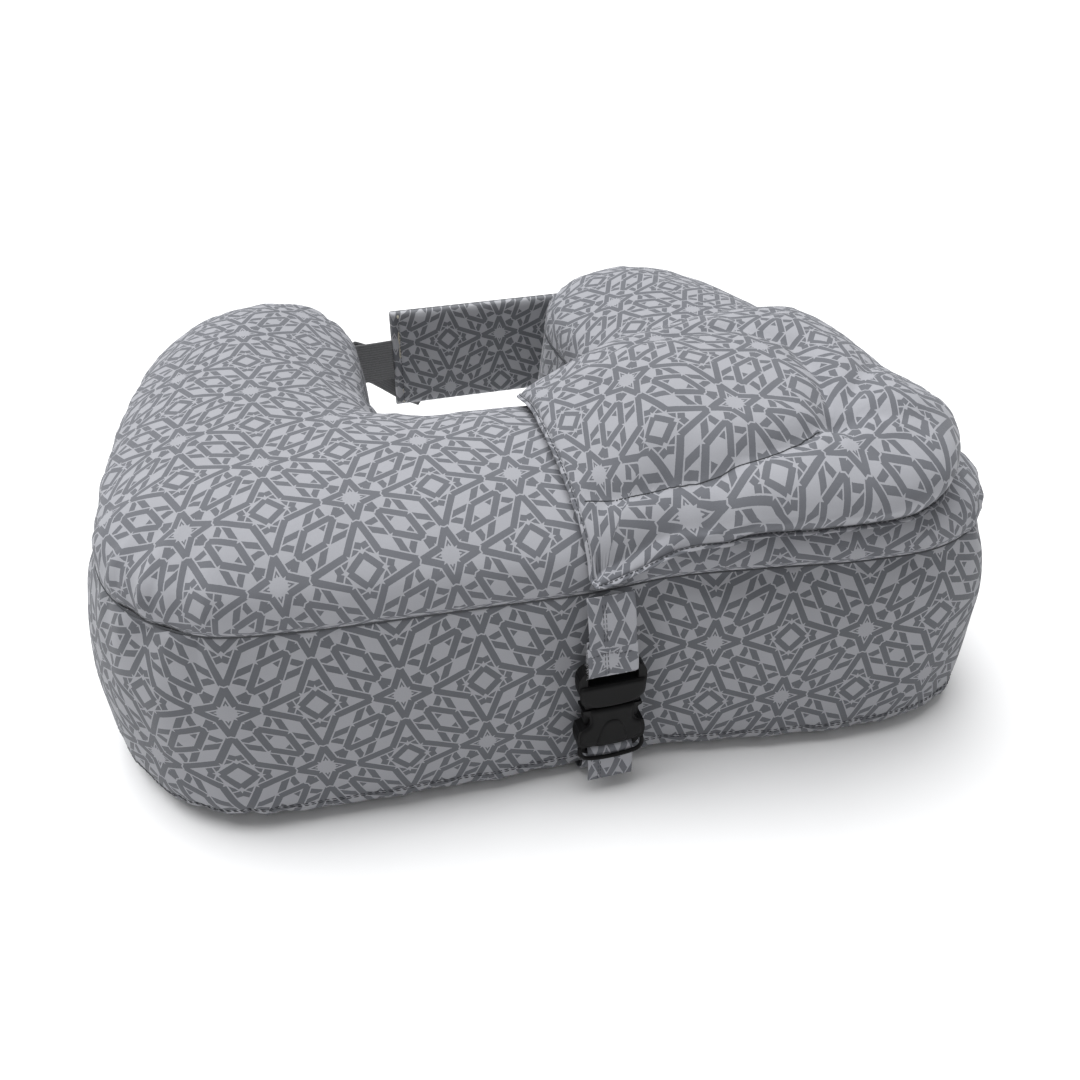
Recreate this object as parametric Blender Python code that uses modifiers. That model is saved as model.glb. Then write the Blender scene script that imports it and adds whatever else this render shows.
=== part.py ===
"""Nursing pillow: a U-shaped boxed cushion with a buckled back panel and a small head pillow
belted round the right half of its front bar. Metres, +Z up, +Y towards the open back."""
import bpy
import bmesh
import math
from mathutils import Matrix, Vector

# ---------------------------------------------------------------- driving dimensions (metres)
CUSHION_HALF_W = 0.270        # outline at the top seam, half width
CUSHION_HALF_D = 0.2025       # outline at the top seam, half depth
BAR_INNER_Y = -0.010          # inner edge of the front bar
GAP_HALF_W = 0.070            # half width of the waist opening between the arms
SEAM_Z = 0.137                # height of the seam between the band and the top panel
CROWN = 0.050                 # rise of the top panel above its seam
CROWN_REACH = 0.095           # distance from the seam at which the crown is flat
BAND_BULGE = 0.014            # how far the band bellies out at mid height
FABRIC = 0.0016               # cover cloth with its backing
GAP = 0.0004                  # clearance between touching pieces
BOTTOM_T = 0.0030             # bottom panel with its seam allowance
OUTLINE_STEPS = 48            # samples along each side of the U

STRAP_W = 0.028               # printed strap
STRAP_T = 0.0014
STRAP_X = 0.0095              # centre line of the strap and the front buckle
FRONT_BUCKLE_Y = -0.2205
FRONT_BUCKLE_Z0 = 0.030
BELT_GROOVE = 0.0026          # hollow that the belt presses into the bottom panel

WAIST_Z = 0.091               # centre line of the waist strap
WAIST_Y = 0.2255
WAIST_X0 = -0.158             # closed end of the waist buckle's socket
WAIST_SU, WAIST_SW, WAIST_ST = 1.13, 1.24, 1.10
WEBBING_W = 0.0365
WEBBING_T = 0.0012
PANEL_X = (-0.045, 0.144)
PANEL_Z = (0.047, 0.135)
PANEL_T = 0.012
SWING_X = 0.1490              # sewn edge that the back panel swings on

ZIP_X = -0.170
ZIP_Y = (-0.140, 0.120)

HEAD_FILL_H = 0.036           # crown of the head pillow above the cushion
HEAD_REACH = 0.070

# ---------------------------------------------------------------- scene and materials
for old in list(bpy.data.objects):
    bpy.data.objects.remove(old, do_unlink=True)

PART = bpy.data.collections.new("nursing_pillow")
bpy.context.scene.collection.children.link(PART)
GUIDES = bpy.data.collections.new("cutters")
bpy.context.scene.collection.children.link(GUIDES)


def material(name, colour, rough, metal=0.0):
    mat = bpy.data.materials.new(name)
    mat.use_nodes = True
    bsdf = mat.node_tree.nodes["Principled BSDF"]
    bsdf.inputs["Base Color"].default_value = (*colour, 1.0)
    bsdf.inputs["Roughness"].default_value = rough
    bsdf.inputs["Metallic"].default_value = metal
    mat.diffuse_color = (*colour, 1.0)
    return mat


PRINT = (0.36, 0.36, 0.38)
LINING = (0.82, 0.81, 0.78)
BLACK = (0.018, 0.018, 0.020)
WEBBING = (0.33, 0.33, 0.33)
FIBRE = (0.90, 0.90, 0.88)


def finish(obj, name, colour, rough, metal=0.0):
    obj.name = name
    obj.data.name = name
    obj.data.materials.clear()
    obj.data.materials.append(material(name, colour, rough, metal))
    return obj


def add_mesh(name, bm, colour, rough, metal=0.0, smooth=None):
    bmesh.ops.recalc_face_normals(bm, faces=bm.faces)
    mesh = bpy.data.meshes.new(name)
    bm.to_mesh(mesh)
    bm.free()
    if smooth is not None:
        mesh.shade_smooth()
        mesh.set_sharp_from_angle(angle=math.radians(smooth))
    obj = bpy.data.objects.new(name, mesh)
    PART.objects.link(obj)
    return finish(obj, name, colour, rough, metal)


# ---------------------------------------------------------------- outlines
def spline(ctrl, steps):
    """Catmull-Rom curve through ctrl, sampled steps+1 times, ends included."""
    pts = [Vector(p) for p in ctrl]
    pts = [pts[0] * 2 - pts[1]] + pts + [pts[-1] * 2 - pts[-2]]
    spans = len(pts) - 3
    out = []
    for k in range(steps + 1):
        u = k / steps * spans
        i = min(int(u), spans - 1)
        t = u - i
        a, b, c, d = pts[i:i + 4]
        out.append(0.5 * ((2 * b) + (c - a) * t + (2 * a - 5 * b + 4 * c - d) * t * t
                          + (3 * b - a - 3 * c + d) * t ** 3))
    return out


W, D, G = CUSHION_HALF_W, CUSHION_HALF_D, GAP_HALF_W
# The U at its top seam, from the middle of the front bar to the tip of each arm. The two
# halves differ a little, because the belt pushes the filling towards the right front corner.
RIGHT_OUTER = [(0, -D), (W * 0.20, -D + 0.002), (W * 0.41, -D - 0.005), (W * 0.61, -D - 0.013),
               (W * 0.80, -D - 0.013), (W * 0.94, -D + 0.006), (W + 0.001, -D + 0.050),
               (W + 0.004, -0.085), (W, 0.0), (W - 0.017, 0.072), (W - 0.040, 0.135),
               (W - 0.074, D - 0.016), (W - 0.120, D + 0.010)]
RIGHT_INNER = [(0, BAR_INNER_Y), (0.018, BAR_INNER_Y), (0.034, BAR_INNER_Y + 0.001),
               (0.048, BAR_INNER_Y + 0.004), (0.060, BAR_INNER_Y + 0.012), (G, 0.016), (G + 0.003, 0.042),
               (G + 0.003, 0.070), (G + 0.001, 0.098), (G, 0.128), (G + 0.006, 0.158),
               (G + 0.030, D - 0.010), (W - 0.120, D + 0.010)]
LEFT_OUTER = [(0, -D), (-W * 0.20, -D + 0.003), (-W * 0.41, -D + 0.006), (-W * 0.61, -D + 0.010),
              (-W * 0.79, -D + 0.020), (-W * 0.93, -D + 0.052), (-W, -D + 0.096), (-W - 0.001, -0.050),
              (-W + 0.004, 0.010), (-W + 0.013, 0.066), (-W + 0.028, 0.128), (-W + 0.060, D - 0.020),
              (-W + 0.120, D + 0.011)]
LEFT_INNER = [(0, BAR_INNER_Y), (-0.022, BAR_INNER_Y), (-0.044, BAR_INNER_Y + 0.001),
              (-0.064, BAR_INNER_Y + 0.005), (-0.078, BAR_INNER_Y + 0.014), (-G - 0.016, 0.020),
              (-G - 0.019, 0.044), (-G - 0.018, 0.072), (-G - 0.016, 0.100), (-G - 0.015, 0.130),
              (-G - 0.020, 0.160), (-G - 0.040, D - 0.008), (-W + 0.120, D + 0.011)]


def whole(left, right):
    return list(reversed(left[1:])) + list(right)


OUTER = spline(whole(LEFT_OUTER, RIGHT_OUTER), OUTLINE_STEPS)
INNER = spline(whole(LEFT_INNER, RIGHT_INNER), OUTLINE_STEPS)


def closed_loop(a, b):
    """One closed loop from two curves that share their ends, anticlockwise seen from above."""
    return list(a) + list(reversed(b[1:-1]))


def inset(loop, amount):
    """Move a closed anticlockwise loop inwards along its normals."""
    n = len(loop)
    out = []
    for i in range(n):
        p, q = loop[i - 1], loop[(i + 1) % n]
        t = (q - p).normalized()
        step = amount(loop[i]) if callable(amount) else amount
        out.append(loop[i] + Vector((-t.y, t.x)) * step)
    return out


LOOP = closed_loop(OUTER, INNER)


def distance(x, y, loop):
    best = 1e9
    n = len(loop)
    for i in range(n):
        ax, ay = loop[i]
        bx, by = loop[(i + 1) % n]
        dx, dy = bx - ax, by - ay
        t = max(0.0, min(1.0, ((x - ax) * dx + (y - ay) * dy) / (dx * dx + dy * dy + 1e-12)))
        best = min(best, (x - ax - t * dx) ** 2 + (y - ay - t * dy) ** 2)
    return math.sqrt(best)


def inside(x, y, loop):
    hit = False
    n = len(loop)
    for i in range(n):
        ax, ay = loop[i]
        bx, by = loop[(i + 1) % n]
        if (ay > y) != (by > y) and x < (bx - ax) * (y - ay) / (by - ay) + ax:
            hit = not hit
    return hit


def dome(d, reach):
    """0 at the seam, 1 once the distance from it exceeds reach, steep at the seam."""
    s = max(0.0, min(1.0, d / reach))
    return math.sqrt(max(0.0, 1 - (1 - s) ** 2))


def cushion_top(x, y, drop=0.0, loop=LOOP):
    if not inside(x, y, loop):
        return SEAM_Z
    return SEAM_Z + (CROWN - drop) * dome(distance(x, y, loop), CROWN_REACH)


# ---------------------------------------------------------------- lofts over a closed outline
def split(loop, steps):
    """The two matching sides of a closed loop made by closed_loop."""
    a = loop[:steps + 1]
    b = [loop[0]] + list(reversed(loop[steps + 1:])) + [loop[steps]]
    return a, b


def loft(name, rings, colour, rough, steps, cap_first=None, cap_last=None, cols=8, smooth=50):
    """A closed solid from a stack of rings (lists of x, y, z round the same outline).
    A cap is a function z(x, y) that spans its ring from side to side; with no caps the
    rings close on themselves, which makes a hoop."""
    bm = bmesh.new()
    n = len(rings[0])
    rows = [[bm.verts.new(p) for p in ring] for ring in rings]
    pairs = list(zip(rows[:-1], rows[1:]))
    if cap_first is None:
        pairs.append((rows[-1], rows[0]))
    for lo, hi in pairs:
        for i in range(n):
            j = (i + 1) % n
            bm.faces.new((lo[i], lo[j], hi[j], hi[i]))
    for row, height in ((rows[0], cap_first), (rows[-1], cap_last)):
        if height is None:
            continue
        a, b = split(row, steps)
        grid = []
        for i in range(steps + 1):
            if a[i] is b[i]:
                grid.append([a[i]])
                continue
            line = [a[i]]
            for k in range(1, cols):
                t = 0.5 - 0.5 * math.cos(math.pi * k / cols)
                x = a[i].co.x * (1 - t) + b[i].co.x * t
                y = a[i].co.y * (1 - t) + b[i].co.y * t
                line.append(bm.verts.new((x, y, height(x, y))))
            line.append(b[i])
            grid.append(line)
        for i in range(steps):
            p, q = grid[i], grid[i + 1]
            if len(p) == 1:
                for k in range(cols):
                    bm.faces.new((p[0], q[k], q[k + 1]))
            elif len(q) == 1:
                for k in range(cols):
                    bm.faces.new((p[k], q[0], p[k + 1]))
            else:
                for k in range(cols):
                    bm.faces.new((p[k], q[k], q[k + 1], p[k + 1]))
    return add_mesh(name, bm, colour, rough, smooth=smooth)


def ring(loop, z):
    if callable(z):
        return [(p.x, p.y, z(p.x, p.y)) for p in loop]
    return [(p.x, p.y, z) for p in loop]


# ---------------------------------------------------------------- main cushion
N = OUTLINE_STEPS
in1 = inset(LOOP, FABRIC)
top_rim = SEAM_Z + GAP / 2
loft("main_top_panel", [ring(LOOP, top_rim), ring(in1, top_rim)], PRINT, 0.9, N,
     cap_first=lambda x, y: cushion_top(x, y) + GAP / 2,
     cap_last=lambda x, y: cushion_top(x, y, FABRIC, in1) + GAP / 2)


def smoothstep(lo, hi, x):
    t = max(0.0, min(1.0, (x - lo) / (hi - lo)))
    return t * t * (3 - 2 * t)


def belly(v):
    """Outward offset of the band at height v (0 floor, 1 top seam), as a function of the place."""
    profile = max(0.0, 1 - abs(v - 0.42) ** 2.6 / 0.58 ** 2.6) * min(1.0, 0.45 + v / 0.12)

    def offset(p):
        if p.y > -0.06 and abs(p.x) < 0.13 and p.y < 0.17:
            return BAND_BULGE * 0.45 * profile                      # walls of the waist opening
        reach = 1.0 - 0.85 * smoothstep(-0.06, 0.07, p.y)            # the sides stay straighter
        belt = 1.0 - 0.62 * math.exp(-((p.x - STRAP_X) / 0.045) ** 2) * (1 - smoothstep(-0.16, -0.12, p.y))
        return BAND_BULGE * profile * reach * belt
    return offset


band_z0, band_z1 = 0.0006, SEAM_Z - GAP / 2
levels = [0.0, 0.055, 0.18, 0.42, 0.70, 0.88, 1.0]
foot = 0.003                      # the lower edge turns in to the bottom seam


def band_ring(v, depth):
    push = belly(v)
    turn = foot * (1 - min(1.0, v / 0.055))
    return ring(inset(LOOP, lambda p: depth + turn - push(p)), band_z0 + (band_z1 - band_z0) * v)


band = loft("main_side_band", [band_ring(v, 0.0) for v in levels] + [band_ring(v, FABRIC) for v in reversed(levels)],
            PRINT, 0.9, N)

STRAP_LO, STRAP_HI = STRAP_X - STRAP_W / 2, STRAP_X + STRAP_W / 2


def groove(x, y):
    """Lift of the bottom panel over the belt, which runs front to back under the bar."""
    if y > 0.02:
        return 0.0
    away = max(STRAP_LO - 0.003 - x, x - STRAP_HI - 0.003, 0.0)
    s = max(0.0, 1 - away / 0.012)
    return BELT_GROOVE * s * s * (3 - 2 * s)


bottom_loop = inset(LOOP, foot + FABRIC + GAP)
bottom_in = inset(LOOP, foot + FABRIC + GAP + 0.0002)
bottom = loft("main_bottom_panel",
              [ring(bottom_loop, lambda x, y: BOTTOM_T + groove(x, y)),
               ring(bottom_loop, groove)],
              PRINT, 0.9, N, cap_first=lambda x, y: BOTTOM_T + groove(x, y), cap_last=groove, cols=12)

lining_in = 0.0022 + GAP
lin_a = inset(LOOP, lining_in)
lin_b = inset(LOOP, lining_in + 0.0008)
fill_l = inset(LOOP, lining_in + 0.0008 + GAP)
MID = 0.072
LIN_FLOOR = BOTTOM_T + BELT_GROOVE + 0.0010
top_drop = 0.0030


def lining_top(x, y):
    return cushion_top(x, y, top_drop, lin_a)


def lining_top_in(x, y):
    return cushion_top(x, y, top_drop + 0.0010, lin_b) - 0.0003


loft("lining_upper", [ring(lin_a, SEAM_Z - 0.0006), ring(lin_a, MID + GAP / 2), ring(lin_b, MID + GAP / 2),
                      ring(lin_b, SEAM_Z - 0.0009)], LINING, 0.95, N,
     cap_first=lambda x, y: lining_top(x, y) - 0.0006, cap_last=lambda x, y: lining_top_in(x, y) - 0.0006,
     cols=8)
low_a = inset(LOOP, lining_in + foot)
low_b = inset(LOOP, lining_in + foot + 0.0008)
loft("lining_lower", [ring(low_a, LIN_FLOOR), ring(lin_a, LIN_FLOOR + 0.014), ring(lin_a, MID - GAP / 2),
                      ring(lin_b, MID - GAP / 2), ring(lin_b, LIN_FLOOR + 0.014),
                      ring(low_b, LIN_FLOOR + 0.0008)], LINING, 0.95, N,
     cap_first=lambda x, y: LIN_FLOOR, cap_last=lambda x, y: LIN_FLOOR + 0.0008, cols=8)
fill_low = inset(LOOP, lining_in + foot + 0.0008 + GAP)
loft("main_fill", [ring(fill_l, SEAM_Z - 0.0016), ring(fill_l, LIN_FLOOR + 0.016),
                   ring(fill_low, LIN_FLOOR + 0.0014)], FIBRE, 0.98, N,
     cap_first=lambda x, y: cushion_top(x, y, top_drop + 0.0024, fill_l) - 0.0016,
     cap_last=lambda x, y: LIN_FLOOR + 0.0014, cols=8)


# ---------------------------------------------------------------- boxes, cutters, straps
def box_mesh(lo, hi):
    bm = bmesh.new()
    bmesh.ops.create_cube(bm, size=1.0)
    size = [b - a for a, b in zip(lo, hi)]
    mid = [(a + b) / 2 for a, b in zip(lo, hi)]
    bmesh.ops.scale(bm, vec=size, verts=bm.verts)
    bmesh.ops.translate(bm, vec=mid, verts=bm.verts)
    return bm


def box(name, lo, hi, colour, rough, metal=0.0, bevel=0.0, segments=2):
    obj = add_mesh(name, box_mesh(lo, hi), colour, rough, metal)
    if bevel:
        mod = obj.modifiers.new("round", 'BEVEL')
        mod.width = bevel
        mod.segments = segments
        mod.limit_method = 'ANGLE'
    return obj


def cutter(name, bm, matrix=None):
    mesh = bpy.data.meshes.new(name)
    bmesh.ops.recalc_face_normals(bm, faces=bm.faces)
    bm.to_mesh(mesh)
    bm.free()
    if matrix is not None:
        mesh.transform(matrix)
    obj = bpy.data.objects.new(name, mesh)
    obj.hide_render = True
    obj.display_type = 'WIRE'
    GUIDES.objects.link(obj)
    return obj


def cut(obj, tool):
    mod = obj.modifiers.new("cut", 'BOOLEAN')
    mod.operation = 'DIFFERENCE'
    mod.solver = 'EXACT'
    mod.object = tool


def join(obj, tool):
    mod = obj.modifiers.new("join", 'BOOLEAN')
    mod.operation = 'UNION'
    mod.solver = 'EXACT'
    mod.object = tool


def strap(name, path, plane, lo, hi, thick, colour, rough):
    """A flat strap: a centre line in the XZ-free plane 'YZ' or 'XY', swept over its width."""
    pts = [Vector(p) for p in path]
    n = len(pts)
    left, right = [], []
    for i in range(n):
        a = pts[max(i - 1, 0)]
        b = pts[min(i + 1, n - 1)]
        if 0 < i < n - 1:
            d1, d2 = (pts[i] - a).normalized(), (b - pts[i]).normalized()
            t = (d1 + d2).normalized()
            stretch = 1 / max(0.5, t.dot(d2))
        else:
            t = (b - a).normalized()
            stretch = 1
        nrm = Vector((-t.y, t.x)) * thick / 2 * stretch
        left.append(pts[i] + nrm)
        right.append(pts[i] - nrm)

    def place(p, w):
        return (w, p.x, p.y) if plane == 'YZ' else (p.x, p.y, w)

    bm = bmesh.new()
    rows = [[bm.verts.new(place(p, w)) for p, w in ((left[i], lo), (left[i], hi), (right[i], hi), (right[i], lo))]
            for i in range(n)]
    for i in range(n - 1):
        for k in range(4):
            m = (k + 1) % 4
            bm.faces.new((rows[i][k], rows[i][m], rows[i + 1][m], rows[i + 1][k]))
    bm.faces.new(rows[0])
    bm.faces.new(reversed(rows[-1]))
    return add_mesh(name, bm, colour, rough, smooth=40)


# the lower edge of the band gives way where the belt passes under the bar
cut(band, cutter("belt_notch", box_mesh((STRAP_LO - 0.002, -0.25, -0.01), (STRAP_HI + 0.002, 0.03, 0.0032))))

# ---------------------------------------------------------------- zip in the bottom panel
zip_mid = (ZIP_Y[0] + ZIP_Y[1]) / 2
cut(bottom, cutter("zip_slot_cutter", box_mesh((ZIP_X - 0.0120, ZIP_Y[0] - 0.012, -0.01),
                                               (ZIP_X + 0.0120, ZIP_Y[1] + 0.006, 0.02))))
box("zip_tape_left", (ZIP_X - 0.0116, ZIP_Y[0] - 0.010, 0.0019), (ZIP_X - 0.0018, ZIP_Y[1] + 0.004, 0.0025), PRINT, 0.9)
box("zip_tape_right", (ZIP_X + 0.0018, ZIP_Y[0] - 0.010, 0.0019), (ZIP_X + 0.0116, ZIP_Y[1] + 0.004, 0.0025), PRINT, 0.9)
coil = box("zip_coil", (ZIP_X - 0.0014, ZIP_Y[0] - 0.002, 0.0016), (ZIP_X + 0.0014, ZIP_Y[1] + 0.002, 0.0029), WEBBING, 0.5, bevel=0.0004, segments=1)
slider = box("zip_slider", (ZIP_X - 0.0036, ZIP_Y[0] - 0.0090, 0.0003), (ZIP_X + 0.0036, ZIP_Y[0] + 0.0010, 0.0043), (0.55, 0.55, 0.56), 0.35, 1.0)
# the passage for the tapes and the coil; the divider post stays at the front end
cut(slider, cutter("zip_passage_a", box_mesh((ZIP_X - 0.02, ZIP_Y[0] - 0.0055, 0.0012), (ZIP_X + 0.02, ZIP_Y[0] + 0.02, 0.0034))))
cut(slider, cutter("zip_passage_b", box_mesh((ZIP_X + 0.0009, ZIP_Y[0] - 0.02, 0.0012), (ZIP_X + 0.02, ZIP_Y[0] - 0.0050, 0.0034))))
cut(slider, cutter("zip_passage_c", box_mesh((ZIP_X - 0.02, ZIP_Y[0] - 0.02, 0.0012), (ZIP_X - 0.0009, ZIP_Y[0] - 0.0050, 0.0034))))


# ---------------------------------------------------------------- side-release buckles
def plate(outline, thick):
    """An outline in the (w, u) plane, thick along t, centred on t = 0."""
    bm = bmesh.new()
    face = bm.faces.new([bm.verts.new((w, u, -thick / 2)) for w, u in outline])
    made = bmesh.ops.extrude_face_region(bm, geom=[face])
    bmesh.ops.translate(bm, vec=(0, 0, thick), verts=[v for v in made["geom"] if isinstance(v, bmesh.types.BMVert)])
    return bm


def both_sides(half):
    return [(w, u) for w, u in half] + [(-w, u) for w, u in reversed(half)]


def disc(w, u, radius, thick, segments=20):
    bm = bmesh.new()
    bmesh.ops.create_cone(bm, cap_ends=True, cap_tris=False, segments=segments, radius1=radius,
                          radius2=radius, depth=thick)
    bmesh.ops.translate(bm, vec=(w, u, 0), verts=bm.verts)
    return bm


def smooth_half(ctrl, steps):
    return [(max(p.x, 0.0), p.y) for p in spline(ctrl, steps)]


def buckle(socket_name, plug_name, prong_names, place, su, sw, st):
    """Socket, plug and two prongs. u runs from the socket's bar to the plug's bar, w across,
    t through the thickness. place is the matrix from (w, u, t) to the world."""
    fit = place @ Matrix.Diagonal((sw, su, st, 1.0))

    def solid(name, bm, bevel=0.0008):
        obj = add_mesh(name, bm, BLACK, 0.45)
        obj.data.transform(fit)
        return obj

    socket_half = smooth_half([(0.0135, 0.0), (0.0175, 0.0022), (0.0195, 0.0065), (0.0210, 0.0130),
                               (0.0212, 0.0180), (0.0200, 0.0240), (0.0186, 0.0310), (0.0183, 0.0385)], 14)
    socket = solid(socket_name, plate(both_sides(socket_half), 0.0106))
    cut(socket, cutter(socket_name + "_cavity", box_mesh((-0.0155, 0.0120, -0.0033), (0.0155, 0.0500, 0.0033)), fit))
    cut(socket, cutter(socket_name + "_slot", box_mesh((-0.0152, 0.0032, -0.02), (0.0152, 0.0088, 0.02)), fit))
    cut(socket, cutter(socket_name + "_thin_front", box_mesh((-0.03, -0.01, 0.0020), (0.03, 0.0088, 0.02)), fit))
    cut(socket, cutter(socket_name + "_thin_back", box_mesh((-0.03, -0.01, -0.02), (0.03, 0.0088, -0.0020)), fit))
    for side in (-1, 1):
        cut(socket, cutter(socket_name + "_window", disc(side * 0.0205, 0.0300, 0.0070, 0.04), fit))

    plug_half = smooth_half([(0.0165, 0.0390), (0.0180, 0.0440), (0.0203, 0.0510), (0.0208, 0.0590),
                             (0.0195, 0.0645), (0.0150, 0.0680), (0.0080, 0.0690)], 12)
    plug = solid(plug_name, plate(both_sides(plug_half), 0.0084))
    cut(plug, cutter(plug_name + "_slot", box_mesh((-0.0155, 0.0570, -0.02), (0.0155, 0.0645, 0.02)), fit))
    cut(plug, cutter(plug_name + "_thin_front", box_mesh((-0.0155, 0.0570, 0.0020), (0.0155, 0.0800, 0.02)), fit))
    cut(plug, cutter(plug_name + "_thin_back", box_mesh((-0.0155, 0.0570, -0.02), (0.0155, 0.0800, -0.0020)), fit))
    join(plug, cutter(plug_name + "_tongue", box_mesh((-0.0030, 0.0160, -0.0027), (0.0030, 0.0420, 0.0027)), fit))

    for name, side in zip(prong_names, (-1, 1)):
        outline = [(0.0104, 0.0386), (0.0134, 0.0386), (0.0140, 0.0358), (0.0168, 0.0340), (0.0172, 0.0300),
                   (0.0164, 0.0262), (0.0140, 0.0236), (0.0126, 0.0190), (0.0112, 0.0160), (0.0098, 0.0162),
                   (0.0098, 0.0230), (0.0104, 0.0300)]
        outline = [(side * w, u) for w, u in outline]
        solid(name, plate(outline, 0.0052))


FRONT = Matrix(((1, 0, 0, STRAP_X), (0, 0, -1, FRONT_BUCKLE_Y), (0, 1, 0, FRONT_BUCKLE_Z0), (0, 0, 0, 1)))
WAIST = Matrix(((0, 1, 0, WAIST_X0), (0, 0, 1, WAIST_Y), (1, 0, 0, WAIST_Z), (0, 0, 0, 1)))
buckle("front_buckle_socket", "front_buckle_plug", ("front_prong_left", "front_prong_right"), FRONT, 1.0, 1.0, 1.0)
buckle("waist_buckle_socket", "waist_buckle_plug", ("waist_prong_lower", "waist_prong_upper"), WAIST,
       WAIST_SU, WAIST_SW, WAIST_ST)

# ---------------------------------------------------------------- printed belt and head strap
FY, FZ = FRONT_BUCKLE_Y, FRONT_BUCKLE_Z0
belt = [(FY - 0.0056, FZ - 0.0190), (FY - 0.0060, FZ - 0.0100), (FY - 0.0046, FZ - 0.0010),
        (FY - 0.0040, FZ + 0.0040), (FY - 0.0012, FZ + 0.0060), (FY + 0.0024, FZ + 0.0058),
        (FY + 0.0042, FZ + 0.0030), (FY + 0.0050, FZ - 0.0060), (FY + 0.0066, FZ - 0.0180),
        (-0.2085, 0.0040), (-0.2030, 0.0012), (-0.1900, 0.0011), (-0.1000, 0.0011), (-0.0180, 0.0011),
        (-0.0050, 0.0013), (0.0008, 0.0050), (0.0022, 0.0200), (0.0030, 0.0550), (0.0030, 0.0850),
        (0.0008, 0.1150), (-0.0060, 0.1400), (-0.0130, 0.1520)]
strap("belt_under_bar", belt, 'YZ', STRAP_LO, STRAP_HI, STRAP_T, PRINT, 0.9)
head_strap = [(FY + 0.0040, FZ + 0.0830), (FY + 0.0036, FZ + 0.0720), (FY + 0.0036, FZ + 0.0640),
              (FY + 0.0022, FZ + 0.0612), (FY - 0.0010, FZ + 0.0610), (FY - 0.0036, FZ + 0.0640),
              (FY - 0.0040, FZ + 0.0700), (FY - 0.0014, FZ + 0.0820), (FY + 0.0012, FZ + 0.0950),
              (FY + 0.0044, FZ + 0.1060), (FY + 0.0074, FZ + 0.1125)]
strap("head_strap", head_strap, 'YZ', STRAP_LO, STRAP_HI, STRAP_T, PRINT, 0.9)

# ---------------------------------------------------------------- waist strap
WX, WY = WAIST_X0, WAIST_Y
web_lo, web_hi = WAIST_Z - WEBBING_W / 2, WAIST_Z + WEBBING_W / 2
bar_u = WX + WAIST_SU * 0.0645
strap("waist_anchor_tab", [(WX - 0.0370, WY - 0.0090), (WX - 0.0140, WY - 0.0044), (WX - 0.0020, WY - 0.0036),
                           (WX + 0.0056, WY - 0.0034), (WX + 0.0076, WY), (WX + 0.0056, WY + 0.0036),
                           (WX - 0.0020, WY + 0.0040), (WX - 0.0140, WY + 0.0012)],
      'XY', web_lo, web_hi, WEBBING_T, WEBBING, 0.8)
strap("waist_webbing", [(PANEL_X[0] - 0.0006, WY - 0.0010), (PANEL_X[0] - 0.016, WY - 0.0026), (bar_u + 0.0060, WY - 0.0038),
                        (bar_u, WY - 0.0038), (bar_u - 0.0038, WY - 0.0030), (bar_u - 0.0050, WY),
                        (bar_u - 0.0038, WY + 0.0030), (bar_u, WY + 0.0038), (bar_u + 0.0052, WY + 0.0038)],
      'XY', web_lo, web_hi, WEBBING_T, WEBBING, 0.8)


def tail(name):
    """The free end of the webbing, which droops behind the panel's lower corner."""
    path = [Vector((bar_u + 0.0062, WY + 0.0043, WAIST_Z)), Vector((bar_u + 0.0105, WY + 0.0080, WAIST_Z - 0.002)),
            Vector((bar_u + 0.034, WY + 0.0084, WAIST_Z - 0.015)), Vector((bar_u + 0.052, WY + 0.0084, WAIST_Z - 0.028)),
            Vector((bar_u + 0.070, WY + 0.0084, WAIST_Z - 0.038))]
    tilt = [0.0, 8.0, 24.0, 32.0, 32.0]
    bm = bmesh.new()
    rows = []
    for i, p in enumerate(path):
        a = math.radians(tilt[i])
        across = Vector((math.sin(a), 0, math.cos(a))) * WEBBING_W / 2
        through = Vector((0, WEBBING_T / 2, 0))
        rows.append([bm.verts.new(p + across - through), bm.verts.new(p + across + through),
                     bm.verts.new(p - across + through), bm.verts.new(p - across - through)])
    for lo, hi in zip(rows[:-1], rows[1:]):
        for k in range(4):
            m = (k + 1) % 4
            bm.faces.new((lo[k], lo[m], hi[m], hi[k]))
    bm.faces.new(rows[0])
    bm.faces.new(reversed(rows[-1]))
    return add_mesh(name, bm, WEBBING, 0.8)


tail("waist_webbing_tail")

# ---------------------------------------------------------------- padded back panel
px0, px1 = PANEL_X
pz0, pz1 = PANEL_Z
py0, py1 = WAIST_Y - PANEL_T / 2, WAIST_Y + PANEL_T / 2
inner_cover = box("back_panel_inner_cover", (px0, py0, pz0), (px1, WAIST_Y - GAP / 2, pz1), PRINT, 0.9)
cut(inner_cover, cutter("inner_cover_hollow", box_mesh((px0 + 0.0012, py0 + 0.0012, pz0 + 0.0012),
                                                       (px1 - 0.0012, py1 + 0.01, pz1 - 0.0012))))
outer_cover = box("back_panel_outer_cover", (px0, WAIST_Y + GAP / 2, pz0), (px1, py1, pz1), PRINT, 0.9)
cut(outer_cover, cutter("outer_cover_hollow", box_mesh((px0 + 0.0012, py0 - 0.01, pz0 + 0.0012),
                                                       (px1 - 0.0012, py1 - 0.0012, pz1 - 0.0012))))
box("back_panel_foam", (px0 + 0.0016, py0 + 0.0016, pz0 + 0.0016), (px1 - 0.0016, py1 - 0.0016, pz1 - 0.0016),
    (0.88, 0.86, 0.78), 0.95, bevel=0.002)
box("back_panel_anchor", (SWING_X - 0.0012, WAIST_Y - 0.0062, pz0 + 0.004), (SWING_X + 0.022, WAIST_Y - 0.0048, pz1 - 0.004), PRINT, 0.9)

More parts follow.
